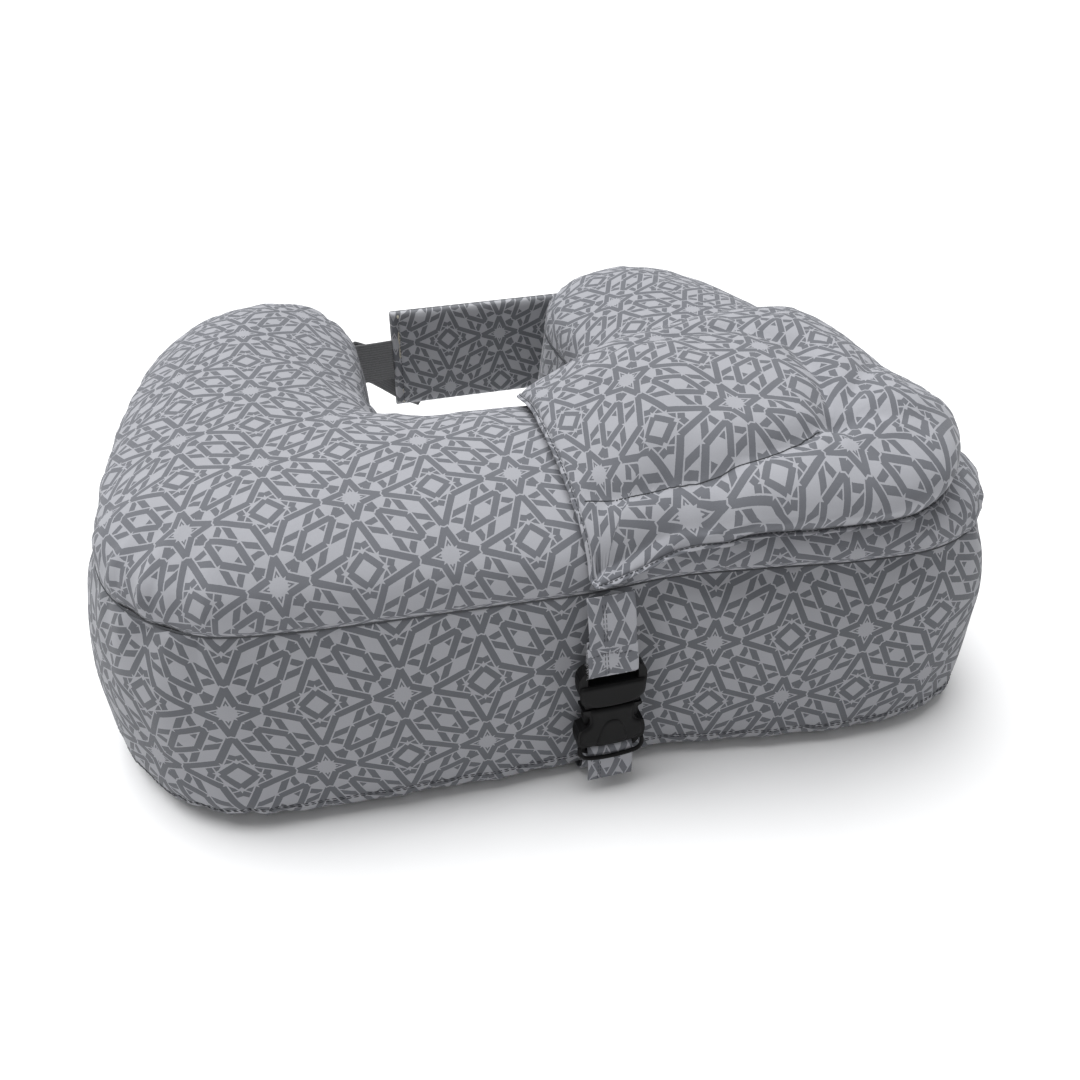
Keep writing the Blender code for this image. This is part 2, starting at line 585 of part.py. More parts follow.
# ---------------------------------------------------------------- head pillow
HEAD_STEPS = 18
head_front = [(0.0030, -0.2120), (0.0300, -0.2085), (0.0600, -0.2045), (0.0900, -0.2060), (0.1300, -0.2120),
              (0.1750, -0.2140), (0.2080, -0.2060), (0.2310, -0.1840), (0.2420, -0.1450)]
head_back = [(0.0030, -0.2120), (0.0010, -0.1500), (0.0020, -0.0850), (0.0080, -0.0300), (0.0560, -0.0130),
             (0.1160, -0.0060), (0.1760, -0.0060), (0.2240, -0.0280), (0.2420, -0.1450)]
HF, HB = spline(head_front, HEAD_STEPS), spline(head_back, HEAD_STEPS)
# leave the rear left corner room for the belt that comes up the bar's inner side
HEAD = closed_loop(HF, HB)


def head_rim(x, y):
    """Height of the head pillow's edge seam: it hangs from the crown to the strap's top."""
    s = max(0.0, min(1.0, x / 0.065))
    hang = 0.1480 + 0.0150 * s
    # a little more room where the crown falls steeply to its seam
    edge = distance(x, y, LOOP) if inside(x, y, LOOP) else 0.0
    return max(cushion_top(x, y) + 0.0076 + 0.0050 * math.exp(-edge / 0.012), hang)


def head_top(x, y, thin=0.0, loop=HEAD):
    return head_rim(x, y) + (HEAD_FILL_H - thin) * dome(distance(x, y, loop), HEAD_REACH)


def head_bottom(x, y, thin=0.0, loop=HEAD):
    return head_rim(x, y) - (0.0038 - thin) * dome(distance(x, y, loop), 0.012)


head_in = inset(HEAD, 0.0012)
head_fill = inset(HEAD, 0.0085)
loft("head_pillow_top_cover", [ring(HEAD, lambda x, y: head_rim(x, y) + GAP / 2), ring(head_in, lambda x, y: head_rim(x, y) + GAP / 2)],
     PRINT, 0.9, HEAD_STEPS, cap_first=lambda x, y: head_top(x, y) + GAP / 2,
     cap_last=lambda x, y: head_top(x, y, 0.0014, head_in) + GAP / 2, cols=8)
loft("head_pillow_bottom_cover", [ring(head_in, lambda x, y: head_rim(x, y) - GAP / 2), ring(HEAD, lambda x, y: head_rim(x, y) - GAP / 2)],
     PRINT, 0.9, HEAD_STEPS, cap_first=lambda x, y: head_bottom(x, y, 0.0012, head_in) - GAP / 2,
     cap_last=lambda x, y: head_bottom(x, y) - GAP / 2, cols=8)
loft("head_pillow_fill", [ring(head_fill, lambda x, y: head_rim(x, y) + 0.0046), ring(head_fill, lambda x, y: head_rim(x, y) + 0.0026)],
     FIBRE, 0.98, HEAD_STEPS, cap_first=lambda x, y: head_top(x, y, 0.0105, head_fill) + 0.0040 * (1 - dome(distance(x, y, head_fill), HEAD_REACH)),
     cap_last=lambda x, y: head_rim(x, y) + 0.0026, cols=8)
tx, ty = 0.158, -0.150
tz = max(head_top(tx + dx, ty + dy) for dx in (-0.006, 0, 0.006) for dy in (-0.006, 0, 0.006))
box("head_pillow_tack", (tx - 0.004, ty - 0.0010, tz + 0.0008), (tx + 0.004, ty + 0.0010, tz + 0.0020), PRINT, 0.9, bevel=0.0004, segments=1)

# ---------------------------------------------------------------- centre the part over the origin
bpy.context.view_layer.update()
depsgraph = bpy.context.evaluated_depsgraph_get()
lows, highs = [1e9] * 3, [-1e9] * 3
for obj in PART.objects:
    ev = obj.evaluated_get(depsgraph)
    mesh = ev.to_mesh()
    for v in mesh.vertices:
        for k in range(3):
            lows[k] = min(lows[k], v.co[k])
            highs[k] = max(highs[k], v.co[k])
    ev.to_mesh_clear()
SHIFT = Vector((-(lows[0] + highs[0]) / 2, -(lows[1] + highs[1]) / 2, -lows[2]))
for obj in list(PART.objects) + list(GUIDES.objects):
    obj.data.transform(Matrix.Translation(SHIFT))
print("extent", [round(b - a, 5) for a, b in zip(lows, highs)], "shift", [round(s, 6) for s in SHIFT])
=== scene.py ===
"""Looks for the nursing pillow: printed covers with seams, puckers and tufts, stitched straps,
ribbed webbing, moulded buckles, plain pale floor and soft studio light."""
import bpy
import bmesh
import math
import numpy as np
from mathutils import Matrix, Vector, noise


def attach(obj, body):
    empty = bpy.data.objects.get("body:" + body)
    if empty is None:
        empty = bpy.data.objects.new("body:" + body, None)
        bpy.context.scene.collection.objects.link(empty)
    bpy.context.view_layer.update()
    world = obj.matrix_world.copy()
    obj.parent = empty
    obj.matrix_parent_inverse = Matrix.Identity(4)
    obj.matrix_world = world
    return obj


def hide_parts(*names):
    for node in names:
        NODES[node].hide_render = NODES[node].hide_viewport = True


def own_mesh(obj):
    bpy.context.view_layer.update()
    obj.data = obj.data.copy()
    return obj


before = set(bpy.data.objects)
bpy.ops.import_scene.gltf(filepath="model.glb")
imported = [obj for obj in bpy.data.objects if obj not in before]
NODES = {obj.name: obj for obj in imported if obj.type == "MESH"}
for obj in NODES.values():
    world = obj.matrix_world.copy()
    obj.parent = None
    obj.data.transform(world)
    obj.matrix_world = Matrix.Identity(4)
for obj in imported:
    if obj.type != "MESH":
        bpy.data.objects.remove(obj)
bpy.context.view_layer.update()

SHIFT = np.array((-0.001004, -0.001656, 0.0))       # the frame is centred; the lists below are not

# ------------------------------------------------------------------ dimensions repeated from the CAD
W, D, G = 0.270, 0.2025, 0.070
BAR_INNER_Y, SEAM_Z, CROWN, CROWN_REACH, BAND_BULGE = -0.010, 0.137, 0.050, 0.095, 0.014
STRAP_W, STRAP_T, STRAP_X = 0.028, 0.0014, 0.0095
FY, FZ = -0.2205, 0.030
WAIST_Z, WAIST_Y, WAIST_X0 = 0.091, 0.2255, -0.158
WEBBING_W, WEBBING_T = 0.0365, 0.0012
PANEL_X, PANEL_Z, PANEL_T, SWING_X = (-0.045, 0.144), (0.047, 0.135), 0.012, 0.1490
HEAD_FILL_H, HEAD_REACH = 0.036, 0.070
FRONT_Z = 0.0

RIGHT_OUTER = [(0, -D), (W * 0.20, -D + 0.002), (W * 0.41, -D - 0.005), (W * 0.61, -D - 0.013),
               (W * 0.80, -D - 0.013), (W * 0.94, -D + 0.006), (W + 0.001, -D + 0.050),
               (W + 0.004, -0.085), (W, 0.0), (W - 0.017, 0.072), (W - 0.040, 0.135),
               (W - 0.074, D - 0.016), (W - 0.120, D + 0.010)]
RIGHT_INNER = [(0, BAR_INNER_Y), (0.018, BAR_INNER_Y), (0.034, BAR_INNER_Y + 0.001),
               (0.048, BAR_INNER_Y + 0.004), (0.060, BAR_INNER_Y + 0.012), (G, 0.016), (G + 0.003, 0.042),
               (G + 0.003, 0.070), (G + 0.001, 0.098), (G, 0.128), (G + 0.006, 0.158),
               (G + 0.030, D - 0.010), (W - 0.120, D + 0.010)]
LEFT_OUTER = [(0, -D), (-W * 0.20, -D + 0.003), (-W * 0.41, -D + 0.006), (-W * 0.61, -D + 0.010),
              (-W * 0.79, -D + 0.020), (-W * 0.93, -D + 0.052), (-W, -D + 0.096), (-W - 0.001, -0.050),
              (-W + 0.004, 0.010), (-W + 0.013, 0.066), (-W + 0.028, 0.128), (-W + 0.060, D - 0.020),
              (-W + 0.120, D + 0.011)]
LEFT_INNER = [(0, BAR_INNER_Y), (-0.022, BAR_INNER_Y), (-0.044, BAR_INNER_Y + 0.001),
              (-0.064, BAR_INNER_Y + 0.005), (-0.078, BAR_INNER_Y + 0.014), (-G - 0.016, 0.020),
              (-G - 0.019, 0.044), (-G - 0.018, 0.072), (-G - 0.016, 0.100), (-G - 0.015, 0.130),
              (-G - 0.020, 0.160), (-G - 0.040, D - 0.008), (-W + 0.120, D + 0.011)]


# ------------------------------------------------------------------ small geometry helpers
def spline(ctrl, steps):
    """Catmull-Rom through ctrl, sampled steps + 1 times."""
    p = np.array(ctrl, float)
    p = np.vstack([2 * p[0] - p[1], p, 2 * p[-1] - p[-2]])
    spans = len(p) - 3
    u = np.linspace(0, spans, steps + 1)
    i = np.minimum(u.astype(int), spans - 1)
    t = (u - i)[:, None]
    a, b, c, d = p[i], p[i + 1], p[i + 2], p[i + 3]
    return 0.5 * (2 * b + (c - a) * t + (2 * a - 5 * b + 4 * c - d) * t ** 2 + (3 * b - a - 3 * c + d) * t ** 3)


def even(points, count, closed=False):
    """The same line with its points evenly spaced."""
    p = np.array(points, float)
    if closed:
        p = np.vstack([p, p[:1]])
    s = np.r_[0, np.cumsum(np.linalg.norm(np.diff(p, axis=0), axis=1))]
    at = np.linspace(0, s[-1], count + (1 if closed else 0))
    q = np.stack([np.interp(at, s, p[:, k]) for k in range(p.shape[1])], 1)
    return q[:-1] if closed else q


def smoothstep(lo, hi, x):
    t = np.clip((np.asarray(x, float) - lo) / (hi - lo), 0, 1)
    return t * t * (3 - 2 * t)


def dome(d, reach):
    s = np.clip(np.asarray(d, float) / reach, 0, 1)
    return np.sqrt(np.maximum(0, 1 - (1 - s) ** 2))


def whole(left, right):
    return list(reversed(left[1:])) + list(right)


def loop_of(a, b):
    return np.vstack([a, b[1:-1][::-1]])


def nearest(xy, loop):
    """Distance to a closed loop, the outward unit direction there and the arc length along it."""
    a, b = loop, np.roll(loop, -1, axis=0)
    ab = b - a
    length = np.linalg.norm(ab, axis=1)
    start = np.r_[0, np.cumsum(length)[:-1]]
    out_d, out_q, out_s = np.empty(len(xy)), np.empty((len(xy), 2)), np.empty(len(xy))
    for lo in range(0, len(xy), 2000):
        p = xy[lo:lo + 2000]
        rel = p[:, None] - a[None]
        t = np.clip((rel * ab[None]).sum(-1) / (length ** 2 + 1e-15)[None], 0, 1)
        q = a[None] + ab[None] * t[..., None]
        d = np.linalg.norm(p[:, None] - q, axis=-1)
        k = d.argmin(1)
        r = np.arange(len(p))
        out_d[lo:lo + 2000] = d[r, k]
        out_q[lo:lo + 2000] = q[r, k]
        out_s[lo:lo + 2000] = start[k] + t[r, k] * length[k]
    v = out_q - xy
    n = np.linalg.norm(v, axis=1, keepdims=True)
    return out_d, np.where(n > 1e-6, v / np.maximum(n, 1e-9), 0), out_s


def inside(xy, loop):
    x, y = xy[:, 0][:, None], xy[:, 1][:, None]
    a, b = loop, np.roll(loop, -1, axis=0)
    ax, ay, bx, by = a[:, 0][None], a[:, 1][None], b[:, 0][None], b[:, 1][None]
    hit = ((ay > y) != (by > y)) & (x < (bx - ax) * (y - ay) / (by - ay + 1e-15) + ax)
    return hit.sum(1) % 2 == 1


def loop_normals(loop):
    t = np.roll(loop, -1, axis=0) - np.roll(loop, 1, axis=0)
    t /= np.linalg.norm(t, axis=1, keepdims=True)
    return np.stack([t[:, 1], -t[:, 0]], 1)          # outwards of an anticlockwise loop


def noise_at(points, scale, seed=0.0):
    out = np.empty(len(points))
    for i, p in enumerate(points):
        out[i] = noise.noise(Vector((p[0] / scale[0] + seed, p[1] / scale[1] - seed, p[2] / scale[2] + 3 * seed)))
    return out


def line_distance(xy, pts):
    """Distance from each point to a polyline, and the share of the way along it."""
    pts = np.array(pts, float)
    best, along = np.full(len(xy), 1e9), np.zeros(len(xy))
    seg = np.linalg.norm(np.diff(pts, axis=0), axis=1)
    start, total = np.r_[0, np.cumsum(seg)], seg.sum()
    for k in range(len(pts) - 1):
        ab = pts[k + 1] - pts[k]
        t = np.clip(((xy - pts[k]) @ ab) / (ab @ ab), 0, 1)
        d = np.linalg.norm(xy - pts[k] - t[:, None] * ab, axis=1)
        m = d < best
        best[m], along[m] = d[m], ((start[k] + t * seg[k]) / total)[m]
    return best, along


def grid_normals(P, closed=False):
    if closed:
        du = np.roll(P, -1, axis=0) - np.roll(P, 1, axis=0)
    else:
        du = np.gradient(P, axis=0)
    dv = np.gradient(P, axis=1)
    n = np.cross(du, dv)
    return n / np.maximum(np.linalg.norm(n, axis=-1, keepdims=True), 1e-12)


def mesh_object(name, verts, faces, uvs=None, mat=None, smooth=True, weld=2e-6, angle=None):
    """A mesh from points in the unshifted frame; uvs are per vertex, in metres of cloth."""
    mesh = bpy.data.meshes.new(name)
    mesh.from_pydata([tuple(p) for p in np.asarray(verts, float) + SHIFT], [], [tuple(int(i) for i in f) for f in faces])
    if uvs is not None:
        layer = mesh.uv_layers.new(name="Cloth")
        idx = np.empty(len(mesh.loops), np.int32)
        mesh.loops.foreach_get("vertex_index", idx)
        layer.uv.foreach_set("vector", np.asarray(uvs, np.float32)[idx].ravel())
    bm = bmesh.new()
    bm.from_mesh(mesh)
    if weld:
        bmesh.ops.remove_doubles(bm, verts=bm.verts, dist=weld)
    bmesh.ops.dissolve_degenerate(bm, edges=bm.edges, dist=1e-7)
    bm.to_mesh(mesh)
    bm.free()
    if smooth:
        mesh.shade_smooth()
        if angle:
            mesh.set_sharp_from_angle(angle=math.radians(angle))
    obj = bpy.data.objects.new(name, mesh)
    bpy.context.scene.collection.objects.link(obj)
    if mat:
        mesh.materials.append(mat)
    return obj


def grid_faces(rows, cols, closed=False, base=0, flip=False):
    out = []
    for i in range(rows if closed else rows - 1):
        j = (i + 1) % rows
        for k in range(cols - 1):
            f = (base + i * cols + k, base + j * cols + k, base + j * cols + k + 1, base + i * cols + k + 1)
            out.append(f[::-1] if flip else f)
    return out


def face_out(obj):
    bm = bmesh.new()
    bm.from_mesh(obj.data)
    bmesh.ops.recalc_face_normals(bm, faces=bm.faces)
    bm.to_mesh(obj.data)
    bm.free()
    obj.data.shade_smooth()


def place(obj, body, replaces=()):
    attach(obj, body)
    if replaces:
        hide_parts(*replaces)
    return obj


# ------------------------------------------------------------------ camera, floor and light
scene = bpy.context.scene
cam_data = bpy.data.cameras.new("camera")
cam_data.sensor_width, cam_data.lens = 36.0, 36.667
camera = bpy.data.objects.new("camera", cam_data)
scene.collection.objects.link(camera)
az, el = math.radians(-15.5), math.radians(35.0)
forward = Vector((-math.sin(az) * math.cos(el), math.cos(az) * math.cos(el), -math.sin(el)))
right = Vector((math.cos(az), math.sin(az), 0.0))
up = right.cross(forward)
camera.matrix_world = Matrix((right, up, -forward)).transposed().to_4x4()
camera.location = Vector((-0.15960, -0.67305, 0.52056))
cam_data.clip_start, cam_data.clip_end = 0.02, 50
scene.camera = camera


def nodes_of(name):
    mat = bpy.data.materials.new(name)
    mat.use_nodes = True
    tree = mat.node_tree
    return mat, tree, tree.nodes["Principled BSDF"]


def link(tree, a, b):
    tree.links.new(a, b)


def node(tree, kind, **inputs):
    n = tree.nodes.new(kind)
    for k, v in inputs.items():
        setattr(n, k, v)
    return n


def maths(tree, op, a, b=None, c=None):
    n = tree.nodes.new("ShaderNodeMath")
    n.operation = op
    for i, v in enumerate((a, b, c)):
        if v is None:
            continue
        if isinstance(v, (int, float)):
            n.inputs[i].default_value = v
        else:
            tree.links.new(v, n.inputs[i])
    return n.outputs[0]


# ------------------------------------------------------------------ the print: a plain eightfold strapwork
REPEAT = 0.094          # metres from star to star
RIBBON = 0.0039         # width of a printed band
OUTLINE = 0.00085       # pale line beside a band that passes over another


def strapwork_segments():
    """Band centre lines in one eighth of a cell, as ((x0, y0), (x1, y1)), lowest first. The cell has
    a star at its corner and a square at its middle; every line is a tangent of the star."""
    a = REPEAT / math.sqrt(2)
    half = a / 2
    r = 0.185 * half                               # from the star's centre to its tangent lines
    s, c = math.sin(math.pi / 8), math.cos(math.pi / 8)
    inner, tip = r / c, r / s
    d = math.sqrt(0.5)
    a1, a2, t1, t2 = (inner, 0.0), (inner * d, inner * d), (tip, 0.0), (tip * d, tip * d)
    e1, e2 = (half, (s * half - r) / c), (half, (r + s * half) / c)
    out1 = (half * 0.540, half * 0.424)
    out2 = (half * 0.7136, half * 0.7136)
    out3 = (half * 0.794, half * 0.530)
    ring = 0.63 * half
    bar = ((ring * c + r * s, ring * s - r * c), (ring * c - r * s, ring * s + r * c))
    stop = half * 0.779
    square = half * 0.810
    return [bar, (e1, out1), (e2, out2), (out2, out3), ((stop, 0.0), (stop, (s * stop - r) / c)),
            ((half, square), (square, square)), (t1, e1), (t2, e2), (a2, t1), (a1, t2)]


def strapwork_group():
    tree = bpy.data.node_groups.new("strapwork", "ShaderNodeTree")
    tree.interface.new_socket("Vector", in_out="INPUT", socket_type="NodeSocketVector")
    tree.interface.new_socket("Mask", in_out="OUTPUT", socket_type="NodeSocketFloat")
    src, dst = tree.nodes.new("NodeGroupInput"), tree.nodes.new("NodeGroupOutput")
    sep = tree.nodes.new("ShaderNodeSeparateXYZ")
    link(tree, src.outputs[0], sep.inputs[0])
    x, y = sep.outputs[0], sep.outputs[1]
    k = math.sqrt(0.5)
    a = REPEAT / math.sqrt(2)
    rx = maths(tree, "MULTIPLY", maths(tree, "ADD", x, y), k)
    ry = maths(tree, "MULTIPLY", maths(tree, "SUBTRACT", x, y), k)
    fx, fy = maths(tree, "PINGPONG", rx, a / 2), maths(tree, "PINGPONG", ry, a / 2)
    x, y = maths(tree, "MAXIMUM", fx, fy), maths(tree, "MINIMUM", fx, fy)
    value = None
    for p, q in strapwork_segments():
        length = math.hypot(q[0] - p[0], q[1] - p[1])
        tx, ty = (q[0] - p[0]) / length, (q[1] - p[1]) / length
        mx, my = (p[0] + q[0]) / 2, (p[1] + q[1]) / 2
        along = maths(tree, "MULTIPLY_ADD", y, ty, maths(tree, "MULTIPLY_ADD", x, tx, -(mx * tx + my * ty)))
        across = maths(tree, "MULTIPLY_ADD", y, tx, maths(tree, "MULTIPLY_ADD", x, -ty, mx * ty - my * tx))
        d = maths(tree, "MAXIMUM", maths(tree, "SUBTRACT", maths(tree, "ABSOLUTE", across), RIBBON / 2),
                  maths(tree, "SUBTRACT", maths(tree, "ABSOLUTE", along), length / 2))
        band = maths(tree, "LESS_THAN", d, 0.0)
        if value is None:
            value = band
            continue
        clear = maths(tree, "SUBTRACT", 1.0, maths(tree, "LESS_THAN", d, OUTLINE))
        value = maths(tree, "MULTIPLY_ADD", value, clear, band)
    link(tree, value, dst.inputs[0])
    return tree


STRAPWORK = strapwork_group()


def weave_height(tree, uv, pitch):
    """Over-and-under threads of a plain weave, from two sines of the cloth's own coordinates."""
    sep = tree.nodes.new("ShaderNodeSeparateXYZ")
    link(tree, uv, sep.inputs[0])
    k = 2 * math.pi / pitch
    a = maths(tree, "SINE", maths(tree, "MULTIPLY", sep.outputs[0], k))
    b = maths(tree, "SINE", maths(tree, "MULTIPLY", sep.outputs[1], k))
    return maths(tree, "MULTIPLY", a, b)


def print_material(name, offset=(0.0, 0.0), angle=0.0, dark=(0.140, 0.145, 0.161), light=(0.350, 0.354, 0.380), lift=0.0):
    """Cotton with the strapwork print. offset and angle place the print on this piece of cloth."""
    mat, tree, bsdf = nodes_of(name)
    uv = tree.nodes.new("ShaderNodeUVMap")
    uv.uv_map = "Cloth"
    at = tree.nodes.new("ShaderNodeMapping")
    at.vector_type = "POINT"
    at.inputs["Location"].default_value = (offset[0], offset[1], 0)
    at.inputs["Rotation"].default_value = (0, 0, angle)
    link(tree, uv.outputs[0], at.inputs[0])
    # the ink bleeds a little along the threads
    wob = node(tree, "ShaderNodeTexNoise")
    wob.inputs["Scale"].default_value = 900.0
    wob.inputs["Detail"].default_value = 2.0
    link(tree, uv.outputs[0], wob.inputs["Vector"])
    mix = tree.nodes.new("ShaderNodeVectorMath")
    mix.operation = "MULTIPLY_ADD"
    link(tree, wob.outputs["Color"], mix.inputs[0])
    mix.inputs[1].default_value = (0.00030, 0.00030, 0)
    link(tree, at.outputs[0], mix.inputs[2])
    grp = tree.nodes.new("ShaderNodeGroup")
    grp.node_tree = STRAPWORK
    link(tree, mix.outputs[0], grp.inputs[0])
    # ink density varies over centimetres, and thread by thread
    big = node(tree, "ShaderNodeTexNoise")
    big.inputs["Scale"].default_value = 38.0
    big.inputs["Detail"].default_value = 4.0
    link(tree, uv.outputs[0], big.inputs["Vector"])
    fine = node(tree, "ShaderNodeTexNoise")
    fine.inputs["Scale"].default_value = 1500.0
    fine.inputs["Detail"].default_value = 1.0
    link(tree, uv.outputs[0], fine.inputs["Vector"])
    ink = node(tree, "ShaderNodeMix", data_type="RGBA")
    ink.inputs[6].default_value = (*[x * 0.90 for x in dark], 1)
    ink.inputs[7].default_value = (*[x * 1.13 for x in dark], 1)
    link(tree, maths(tree, "MULTIPLY_ADD", fine.outputs[0], 0.6, maths(tree, "MULTIPLY", big.outputs[0], 0.4)), ink.inputs[0])
    ground = node(tree, "ShaderNodeMix", data_type="RGBA")
    ground.inputs[6].default_value = (*[x * 0.93 for x in light], 1)
    ground.inputs[7].default_value = (*[x * 1.07 for x in light], 1)
    link(tree, maths(tree, "MULTIPLY_ADD", fine.outputs[0], 0.6, maths(tree, "MULTIPLY", big.outputs[0], 0.4)), ground.inputs[0])
    both = node(tree, "ShaderNodeMix", data_type="RGBA")
    link(tree, grp.outputs[0], both.inputs[0])
    link(tree, ground.outputs[2], both.inputs[6])
    link(tree, ink.outputs[2], both.inputs[7])
    link(tree, both.outputs[2], bsdf.inputs["Base Color"])
    rough = tree.nodes.new("ShaderNodeMapRange")
    rough.inputs["To Min"].default_value, rough.inputs["To Max"].default_value = 0.80, 0.93
    link(tree, fine.outputs[0], rough.inputs["Value"])
    link(tree, rough.outputs[0], bsdf.inputs["Roughness"])
    bsdf.inputs["Specular IOR Level"].default_value = 0.22
    bsdf.inputs["Sheen Weight"].default_value = 0.12
    bsdf.inputs["Sheen Roughness"].default_value = 0.5
    weave = weave_height(tree, uv.outputs[0], 0.00072)
    slub = node(tree, "ShaderNodeTexNoise")
    slub.inputs["Scale"].default_value = 420.0
    slub.inputs["Detail"].default_value = 3.0
    link(tree, uv.outputs[0], slub.inputs["Vector"])
    height = maths(tree, "MULTIPLY_ADD", weave, 0.45, maths(tree, "MULTIPLY", slub.outputs[0], 1.1))
    bump = tree.nodes.new("ShaderNodeBump")
    bump.inputs["Strength"].default_value = 0.30
    bump.inputs["Distance"].default_value = 0.00045
    link(tree, height, bump.inputs["Height"])
    link(tree, bump.outputs[0], bsdf.inputs["Normal"])
    return mat


def object_coordinates(tree):
    return tree.nodes.new("ShaderNodeTexCoord").outputs["Object"]


def noisy_material(name, low, high, scale, rough=(0.8, 0.95), bump=0.2, distance=0.0006, stretch=(1, 1, 1), spec=0.3, metal=0.0, sheen=0.0):
    """Cloth, fibre, foam, plastic or metal: colour, roughness and relief from layered noise."""
    mat, tree, bsdf = nodes_of(name)
    co = object_coordinates(tree)
    mp = tree.nodes.new("ShaderNodeMapping")
    mp.inputs["Scale"].default_value = stretch
    link(tree, co, mp.inputs[0])
    n = node(tree, "ShaderNodeTexNoise")
    n.inputs["Scale"].default_value = scale
    n.inputs["Detail"].default_value = 5.0
    n.inputs["Roughness"].default_value = 0.6
    link(tree, mp.outputs[0], n.inputs["Vector"])
    mix = node(tree, "ShaderNodeMix", data_type="RGBA")
    mix.inputs[6].default_value, mix.inputs[7].default_value = (*low, 1), (*high, 1)
    link(tree, n.outputs[0], mix.inputs[0])
    link(tree, mix.outputs[2], bsdf.inputs["Base Color"])
    r = tree.nodes.new("ShaderNodeMapRange")
    r.inputs["To Min"].default_value, r.inputs["To Max"].default_value = rough
    link(tree, n.outputs[0], r.inputs["Value"])
    link(tree, r.outputs[0], bsdf.inputs["Roughness"])
    b = tree.nodes.new("ShaderNodeBump")
    b.inputs["Strength"].default_value, b.inputs["Distance"].default_value = bump, distance
    link(tree, n.outputs[0], b.inputs["Height"])
    link(tree, b.outputs[0], bsdf.inputs["Normal"])
    bsdf.inputs["Specular IOR Level"].default_value = spec
    bsdf.inputs["Metallic"].default_value = metal
    if sheen:
        bsdf.inputs["Sheen Weight"].default_value = sheen
    return mat


def webbing_material(name):
    """Grey ribbed webbing: diagonal twill lines within each rib, with painted shade in their low grooves."""
    mat, tree, bsdf = nodes_of(name)
    uv = tree.nodes.new("ShaderNodeUVMap")
    uv.uv_map = "Cloth"
    sep = tree.nodes.new("ShaderNodeSeparateXYZ")
    link(tree, uv.outputs[0], sep.inputs[0])
    along, across = sep.outputs[0], sep.outputs[1]
    rib = maths(tree, "PINGPONG", across, 0.0011)
    zig = maths(tree, "SINE", maths(tree, "MULTIPLY", maths(tree, "ADD", along, maths(tree, "MULTIPLY", rib, 1.5)), 2 * math.pi / 0.0013))
    cord_h = maths(tree, "SINE", maths(tree, "MULTIPLY", across, math.pi / 0.0011))
    h = maths(tree, "MULTIPLY_ADD", zig, 0.5, maths(tree, "MULTIPLY", cord_h, 0.6))
    n = node(tree, "ShaderNodeTexNoise")
    n.inputs["Scale"].default_value = 600.0
    link(tree, uv.outputs[0], n.inputs["Vector"])
    # the colour follows the rib relief h and is darker where it is low: painted shade in the grooves, plus random tone
    # from the noise
    fac = maths(tree, "ADD", maths(tree, "MULTIPLY_ADD", h, 0.22, 0.25), maths(tree, "MULTIPLY", n.outputs[0], 0.5))
    mix = node(tree, "ShaderNodeMix", data_type="RGBA")
    mix.inputs[6].default_value, mix.inputs[7].default_value = (0.105, 0.106, 0.108, 1), (0.300, 0.302, 0.305, 1)
    link(tree, fac, mix.inputs[0])
    link(tree, mix.outputs[2], bsdf.inputs["Base Color"])
    bsdf.inputs["Roughness"].default_value = 0.72
    bsdf.inputs["Specular IOR Level"].default_value = 0.35
    bump = tree.nodes.new("ShaderNodeBump")
    bump.inputs["Strength"].default_value, bump.inputs["Distance"].default_value = 0.6, 0.0004
    link(tree, h, bump.inputs["Height"])
    link(tree, bump.outputs[0], bsdf.inputs["Normal"])
    return mat


def plastic_material(name):
    """Black moulded acetal: fine spark texture, and a faint painted highlight on convex edges."""
    mat, tree, bsdf = nodes_of(name)
    co = object_coordinates(tree)
    fine = node(tree, "ShaderNodeTexNoise")
    fine.inputs["Scale"].default_value, fine.inputs["Detail"].default_value = 2600.0, 2.0
    big = node(tree, "ShaderNodeTexNoise")
    big.inputs["Scale"].default_value, big.inputs["Detail"].default_value = 60.0, 4.0
    for n in (fine, big):
        link(tree, co, n.inputs["Vector"])
    geo = tree.nodes.new("ShaderNodeNewGeometry")
    # pointiness lightens the colour on convex edges: a painted edge highlight
    edge = tree.nodes.new("ShaderNodeMapRange")
    edge.inputs["From Min"].default_value, edge.inputs["From Max"].default_value = 0.54, 0.66
    link(tree, geo.outputs["Pointiness"], edge.inputs["Value"])
    mix = node(tree, "ShaderNodeMix", data_type="RGBA")
    mix.inputs[6].default_value, mix.inputs[7].default_value = (0.0024, 0.0024, 0.0026, 1), (0.0090, 0.0090, 0.0095, 1)
    link(tree, maths(tree, "MULTIPLY_ADD", edge.outputs[0], 0.5, maths(tree, "MULTIPLY", big.outputs[0], 0.4)), mix.inputs[0])
    link(tree, mix.outputs[2], bsdf.inputs["Base Color"])
    r = tree.nodes.new("ShaderNodeMapRange")
    r.inputs["To Min"].default_value, r.inputs["To Max"].default_value = 0.42, 0.58
    link(tree, big.outputs[0], r.inputs["Value"])
    link(tree, r.outputs[0], bsdf.inputs["Roughness"])
    bsdf.inputs["Specular IOR Level"].default_value = 0.13
    b = tree.nodes.new("ShaderNodeBump")
    b.inputs["Strength"].default_value, b.inputs["Distance"].default_value = 0.25, 0.00012
    link(tree, fine.outputs[0], b.inputs["Height"])
    link(tree, b.outputs[0], bsdf.inputs["Normal"])
    return mat


